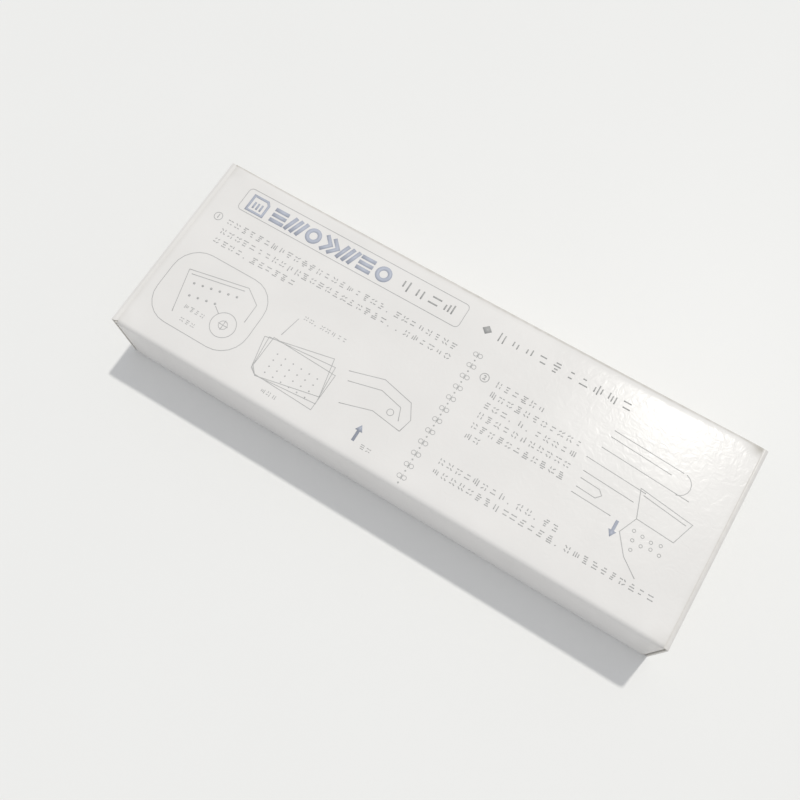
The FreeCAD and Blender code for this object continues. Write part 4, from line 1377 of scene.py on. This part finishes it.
    def instructions(self) -> None:
        """The rows of filler marks beside the two step numbers, and the heading of the right half."""
        text = Plate("print_instructions", Ink.TEXT, self.carton)
        self.step_number(text, "1", 8.6, 20.3)
        for left, right, v in ((12.0, 102.0, 20.3), (12.0, 102.0, 24.3), (12.0, 46.0, 28.2)):
            self.row(text, left, right, v)
        self.step_number(text, "2", 114.3, 24.5)
        rights = (138.5, 151.0, 151.0, 151.0, 151.0, 126.0)
        for number, right in enumerate(rights):
            self.row(text, 118.0, right, 24.5 + 3.86 * number)
        self.row(text, 115.3, 160.0, 55.0)
        self.row(text, 115.3, 192.5, 58.7)
        text.print()
        heading = Plate("print_heading", Ink.HEAD, self.carton)
        heading.polygon([(105.2, 9.9), (106.9, 8.3), (108.6, 9.9), (106.9, 11.5)])
        for number in range(10):
            self.mark(heading, 112.4 + 4.9 * number, 9.9, 3.8, 0.40, ("stack", "posts"))
        heading.print()

    def ornament(self) -> None:
        """The upright rule between the halves: pairs of small rings joined by dashes."""
        rule = Plate("print_ornament", Ink.LINE, self.carton)
        pitch = 4.2
        for number in range(12):
            v = 19.0 + pitch * number
            for side in (-0.85, 0.85):
                rule.ring(108.75 + side, v, 0.72, 0.2, 12)
            rule.bar(108.75, v, 0.22, 1.9)
            rule.bar(108.75, v + pitch / 2, 0.5, 0.5, 45)
        rule.print()

    def inset(self) -> None:
        """The round-cornered picture of step 1: a card's edge with its holes and one of them enlarged."""
        lines = Plate("print_inset", Ink.LINE, self.carton)
        lines.stroke(self.rounded_box(6.4, 42.5, 33.6, 61.3, 9.5), self.hair, closed=True)
        lines.stroke([(12.0, 41.5), (33.0, 37.2), (38.6, 41.0), (38.6, 48.0)], self.hair)
        lines.stroke([(12.0, 41.5), (16.0, 56.8)], self.hair)
        lines.stroke([(13.6, 42.6), (32.4, 38.8)], self.hair)
        for number in range(6):
            lines.disc(16.4 + 3.0 * number, 45.0 - 0.62 * number, 0.42)
        for number in range(4):
            lines.disc(17.6 + 3.0 * number, 49.4 - 0.62 * number, 0.42)
        lens = (33.2, 52.4)
        lines.ring(*lens, 4.4, self.hair, 36)
        lines.ring(*lens, 1.5, self.hair, 20)
        lines.bar(*lens, 3.6, self.hair)
        lines.bar(*lens, self.hair, 3.6)
        lines.stroke([(27.2, 48.1), (29.6, 49.8)], self.hair)
        for left, right, v in ((18.2, 26.6, 53.2), (19.5, 26.0, 57.6)):
            self.row(lines, left, right, v, self.small_em, self.small_pitch)
        lines.print()

    def cards(self) -> None:
        """The middle picture: a fanned pack of plain punched cards beside a lever's outline."""
        lines = Plate("print_cards", Ink.LINE, self.carton)
        card = ((0.0, 0.0), (24.0, 0.0), (24.0, 13.5), (2.2, 13.5), (0.0, 11.3))
        for number in range(3):
            swing = math.radians(7 * number - 12)
            foot = (47.0 + 1.4 * number, 48.6 - 0.6 * number)
            corners = []
            for along, across in card:
                u = foot[0] + along * math.cos(swing) - across * math.sin(swing)
                v = foot[1] + along * math.sin(swing) + across * math.cos(swing)
                corners.append((u, v))
            lines.stroke(corners, self.hair, closed=True)
        for line in range(4):
            for number in range(6):
                lines.disc(54.0 + 3.1 * number, 51.6 + 2.4 * line + 0.1 * number, 0.26, 8)
        lines.stroke([(76.5, 44.6), (88.0, 41.2), (99.0, 43.6), (101.8, 48.6), (100.6, 53.4)], self.hair)
        lines.stroke([(78.0, 47.6), (89.0, 44.8), (97.0, 46.6), (98.6, 50.8)], self.hair)
        lines.stroke([(79.5, 55.2), (90.0, 52.0), (100.6, 53.4)], self.hair)
        lines.ring(95.0, 49.6, 1.1, self.hair, 18)
        lines.stroke([(51.3, 45.4), (53.0, 37.8)], self.hair)
        for left, right, v in ((54.0, 71.0, 36.6), (92.6, 97.0, 63.6), (56.0, 64.0, 64.2)):
            self.row(lines, left, right, v, self.small_em, self.small_pitch)
        lines.print()

    def tray(self) -> None:
        """The right picture: rails over an open tray, with round chips falling out of it."""
        lines = Plate("print_tray", Ink.LINE, self.carton)
        for left, top, right, bottom in (
            (157.0, 18.9, 181.0, 20.2),
            (157.0, 21.2, 178.0, 22.6),
            (156.0, 25.6, 186.0, 27.4),
            (153.4, 30.6, 174.0, 31.8),
            (154.6, 35.0, 172.0, 36.0),
            (154.6, 42.6, 168.0, 43.2),
        ):
            lines.stroke([(left, top), (right, bottom)], self.hair)
        lines.stroke(arc((181.0, 23.8), 3.7, -75, 80, 8), self.hair)
        lines.stroke([(172.0, 31.0), (190.0, 33.2), (187.4, 40.8), (175.0, 40.0)], self.hair, closed=True)
        lines.stroke([(173.6, 32.6), (188.4, 34.4)], self.hair)
        lines.stroke([(155.0, 37.4), (161.6, 37.8), (163.0, 39.2), (161.6, 40.8), (155.0, 40.4)], self.hair)
        for number in range(9):
            u = 176.0 + 2.9 * (number % 4) + 0.8 * (number // 4)
            lines.ring(u, 43.6 + 2.5 * (number // 4) + 0.3 * (number % 3), 0.5, 0.2, 10)
        lines.stroke([(175.0, 40.0), (172.4, 46.0), (176.8, 52.0), (182.4, 56.2)], self.hair)
        lines.print()

    def arrows(self) -> None:
        """The two blue arrows, one to squeeze and one to empty."""
        blue = Plate("print_arrows", Ink.BLUE, self.carton)
        for u, tip, tail in ((89.8, 57.6, 63.4), (170.5, 49.0, 43.4)):
            way = math.copysign(1.0, tail - tip)
            neck = tip + 2.2 * way
            head = [(u, tip), (u + 1.3, neck), (u + 0.5, neck)]
            head += [(u + 0.5, tail), (u - 0.5, tail), (u - 0.5, neck), (u - 1.3, neck)]
            blue.polygon(head)
        blue.print()

    def build(self) -> None:
        """Prints every plate."""
        self.title()
        self.instructions()
        self.ornament()
        self.inset()
        self.cards()
        self.tray()
        self.arrows()


# Punch


@dataclass(frozen=True)
class Coil:
    """A coil spring along Y that stands for a CAD node, wound at the node's rest length."""

    name: str
    node: str
    joint: str
    travel: float
    wire: float
    open_turns: float
    fixed_top: bool = False
    closed_turns: float = 0.75
    closed_lay: float = 2.02
    sides: int = 10
    steps: int = 28

    def build(self, material: bpy.types.Material) -> None:
        """Winds the wire with a closed turn at each end.

        Args:
            material: Its finish.
        """
        low, high = (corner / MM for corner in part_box(self.node))
        middle = (low + high) / 2
        mean = (high.x - low.x) / 2 - self.wire
        closed_rise = self.closed_turns * (self.closed_lay * self.wire)
        open_rise = high.y - low.y - 2 * self.wire - 2 * closed_rise
        bm = bmesh.new()
        place = Matrix.Translation((middle.x + mean, low.y + self.wire, middle.z))
        bmesh.ops.create_circle(bm, segments=self.sides, radius=self.wire, matrix=place)
        ring = [*bm.verts, *bm.edges]
        for turns, rise in (
            (self.closed_turns, closed_rise),
            (self.open_turns, open_rise),
            (self.closed_turns, closed_rise),
        ):
            steps = round(turns * self.steps)
            made = bmesh.ops.spin(
                bm,
                geom=ring,
                cent=middle,
                axis=(0, 1, 0),
                dvec=(0, rise / steps, 0),
                angle=math.tau * turns,
                steps=steps,
            )
            ring = [part for part in made["geom_last"] if not isinstance(part, bmesh.types.BMFace)]
        bmesh.ops.holes_fill(bm, edges=[edge for edge in bm.edges if edge.is_boundary], sides=0)
        bmesh.ops.recalc_face_normals(bm, faces=bm.faces)
        piece = finished(self.name, bm, "punch", [material], [self.node])
        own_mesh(piece)


@dataclass(frozen=True)
class Leaf:
    """The bent leaf that holds the lever open: clipped in its channel, its tip on a post of the frame."""

    name: str = "lever_return_leaf"
    node: str = "lever_leaf_spring"
    clip: Point = (-26.8, -25.1)
    bend: Point = (-36.4, -21.74)
    tip: Point = (-57.04, 1.63)
    bend_radius: float = 3.0
    bend_chords: int = 6
    clip_pitch: float = 3.0
    free_pitch: float = 1.5
    rows: int = 4
    strip: float = 0.55

    def build(self, material: bpy.types.Material) -> None:
        """Bends the strip to its rest shape between the lever and the frame.

        Args:
            material: Its finish.
        """
        low, high = (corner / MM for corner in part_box(self.node))
        bm = drawn_out(self.path(low.z), False, Vector((0, 0, high.z - low.z)), self.rows)
        turn_towards(bm, lambda _point: Vector((1, 1, 0)))
        crease = Crease("lever", Vector((*self.bend, 0)), Vector((*self.tip, 0)))
        piece = finished(self.name, bm, "punch", [material], [self.node], crease=crease)
        thicken(piece, self.strip, 0)

    def path(self, height: float) -> list[Vector]:
        """The strip's middle line, round at the bend.

        Args:
            height: The height at which it lies.

        Returns:
            Its points.
        """
        clip, bend, tip = (Vector(point) for point in (self.clip, self.bend, self.tip))
        into, out = (bend - clip).normalized(), (tip - bend).normalized()
        half_turn = into.angle(out) / 2
        start = bend - into * self.bend_radius * math.tan(half_turn)
        inward = Vector((into.y, -into.x))
        centre = start + inward * self.bend_radius
        first = math.degrees(math.atan2(-inward.y, -inward.x))
        last = first - math.degrees(2 * half_turn)
        curve = arc(tuple(centre), self.bend_radius, first, last, self.bend_chords)
        clipped = evenly([tuple(clip), curve[0]], self.clip_pitch)
        free = evenly([curve[-1], tuple(tip)], self.free_pitch)
        return [Vector((x, y, height)) for x, y in clipped[:-1] + curve + free[1:]]


@dataclass
class Punch:
    """The punch inside the carton: finishes for its CAD pieces, and its springs wound and bent at rest."""

    coils: tuple[Coil, ...] = (
        Coil("plunger_return_coil", "plunger_spring", "punch_stroke", 3.3, 0.3, 2.5),
        Coil("guide_pin_coil", "guide_pin_spring", "guide_pin_lift", 1.4, 0.15, 5.5, fixed_top=True),
    )
    leaf: Leaf = Leaf()
    spring_finish: Steel = Steel(
        "spring_steel", linear(198, 199, 203), (0.16, 0.30), (1.0, 1.0, 0.3), 0.4, 0.002, carried=True
    )

    def __post_init__(self) -> None:
        """Makes each finish once."""
        self.finishes = {
            "satin_steel": Steel("satin_steel", linear(196, 197, 199)),
            "hard_steel": Steel("hard_steel", linear(150, 151, 155), (0.20, 0.34), (1.0, 0.08, 1.0)),
            "screw_steel": Steel(
                "screw_steel", linear(214, 214, 216), (0.14, 0.28), (1.0, 1.0, 0.1), 0.4, 0.002
            ),
            "jaw_enamel": Enamel("jaw_enamel", linear(214, 214, 208)),
            "handle_plastic": Moulded("handle_plastic", linear(74, 88, 116)),
            "grip_plastic": Moulded("grip_plastic", linear(58, 68, 90), (0.5, 0.65)),
            "case_plastic": Moulded("case_plastic", linear(224, 223, 214), (0.22, 0.34), 0.6, 0.006),
        }
        self.materials = {slot: finish.make() for slot, finish in self.finishes.items()}

    def dress(self) -> None:
        """Gives each CAD piece of the punch the finish of its slot."""
        for part in frame["record"]["subparts"]:
            slot, node = part["material_slot"], part["node"]
            if slot in self.materials:
                mesh = frame["nodes"][node].data
                mesh.materials.clear()
                mesh.materials.append(self.materials[slot])
                LOG.info("%s: %s", node, slot)

    def build(self) -> None:
        """Dresses the punch and winds its springs."""
        self.dress()
        spring_steel = self.spring_finish.make()
        for spring in (*self.coils, self.leaf):
            spring.build(spring_steel)


# Studio


@dataclass(frozen=True)
class Studio:
    """The pale floor, the light and the camera."""

    floor_colour: Colour = linear(239, 239, 238)
    floor_half: float = 1600.0
    floor_squares: int = 8
    floor_dark_share: float = 0.985
    floor_cloud_mm: float = 60.0
    sky_colour: Colour = (0.97, 0.985, 1.01)
    sky_strength: float = 0.60
    backdrop_strength: float = 0.86
    sun_strength: float = 1.42
    sun_colour: Colour = (1.0, 0.98, 0.925)
    sun_travel: tuple[float, float, float] = (-0.09, -0.468, -1.0)
    sun_angle: float = 2.5
    camera_place: tuple[float, float, float] = (48.59, -85.73, 291.80)
    camera_aim: tuple[float, float, float] = (-4.53, -9.85, 27.0)
    camera_roll: float = 3.58
    lens: float = 40.5
    sensor: float = 36.0
    clip: tuple[float, float] = (0.01, 20.0)

    def floor(self) -> None:
        """Lays a wide matt floor under the object."""
        bm = bmesh.new()
        squares = self.floor_squares
        bmesh.ops.create_grid(bm, x_segments=squares, y_segments=squares, size=self.floor_half * MM)
        mesh = bpy.data.meshes.new("floor")
        bm.to_mesh(mesh)
        bm.free()
        recipe = Recipe("floor", self.floor_colour)
        darker = tuple(part * self.floor_dark_share for part in self.floor_colour)
        cloud = recipe.noise(self.floor_cloud_mm, 3.0)
        recipe.feed(recipe.blend(cloud, self.floor_colour, darker), recipe.shader, "Base Color")
        recipe.set(roughness=0.42, specular_ior_level=0.14)
        mesh.materials.append(recipe.material)
        floor = bpy.data.objects.new("floor", mesh)
        bpy.context.scene.collection.objects.link(floor)

    def sky(self) -> None:
        """A soft even sky that looks brighter to the camera and in reflections than it lights."""
        world = bpy.data.worlds.new("sky")
        world.use_nodes = True
        tree = world.node_tree
        tree.nodes.clear()
        output = tree.nodes.new("ShaderNodeOutputWorld")
        background = tree.nodes.new("ShaderNodeBackground")
        background.inputs["Color"].default_value = (*self.sky_colour, 1.0)
        path = tree.nodes.new("ShaderNodeLightPath")
        level = tree.nodes.new("ShaderNodeMapRange")
        level.inputs["To Min"].default_value = self.sky_strength
        level.inputs["To Max"].default_value = self.backdrop_strength
        seen = path.outputs["Is Camera Ray"]
        for ray in ("Is Glossy Ray", "Is Transmission Ray"):
            either = tree.nodes.new("ShaderNodeMath")
            either.operation = "MAXIMUM"
            tree.links.new(seen, either.inputs[0])
            tree.links.new(path.outputs[ray], either.inputs[1])
            seen = either.outputs["Value"]
        tree.links.new(seen, level.inputs["Value"])
        tree.links.new(level.outputs["Result"], background.inputs["Strength"])
        tree.links.new(background.outputs["Background"], output.inputs["Surface"])
        bpy.context.scene.world = world

    def sun(self) -> None:
        """A high light from the far side."""
        light = bpy.data.lights.new("sun", "SUN")
        light.energy = self.sun_strength
        light.angle = math.radians(self.sun_angle)
        light.color = self.sun_colour
        lamp = bpy.data.objects.new("sun", light)
        lamp.rotation_euler = Vector(self.sun_travel).to_track_quat("-Z", "Y").to_euler()
        bpy.context.scene.collection.objects.link(lamp)

    def camera(self) -> None:
        """Looks down on the carton from its near side."""
        data = bpy.data.cameras.new("camera")
        data.lens = self.lens
        data.sensor_width = self.sensor
        data.clip_start, data.clip_end = self.clip
        holder = bpy.data.objects.new("camera", data)
        place, aim = Vector(self.camera_place), Vector(self.camera_aim)
        ahead = (aim - place).normalized()
        right = ahead.cross(Vector((0, 0, 1))).normalized()
        level_up = right.cross(ahead)
        roll = math.radians(self.camera_roll)
        up = level_up * math.cos(roll) + right * math.sin(roll)
        side = ahead.cross(up)
        turn = Matrix((side, up, -ahead)).transposed()
        holder.matrix_world = Matrix.Translation(place * MM) @ turn.to_4x4()
        bpy.context.scene.collection.objects.link(holder)
        bpy.context.scene.camera = holder

    def build(self) -> None:
        """Sets the stage."""
        bpy.context.scene.view_settings.view_transform = "Standard"
        self.floor()
        self.sky()
        self.sun()
        self.camera()


def main() -> None:
    """Builds the carton, its print, the punch and the stage."""
    logging.basicConfig(level=logging.INFO, format="%(message)s")
    carton = Carton()
    carton.build()
    PanelPrint(carton).build()
    Punch().build()
    Studio().build()


if __name__ == "__main__":
    main()
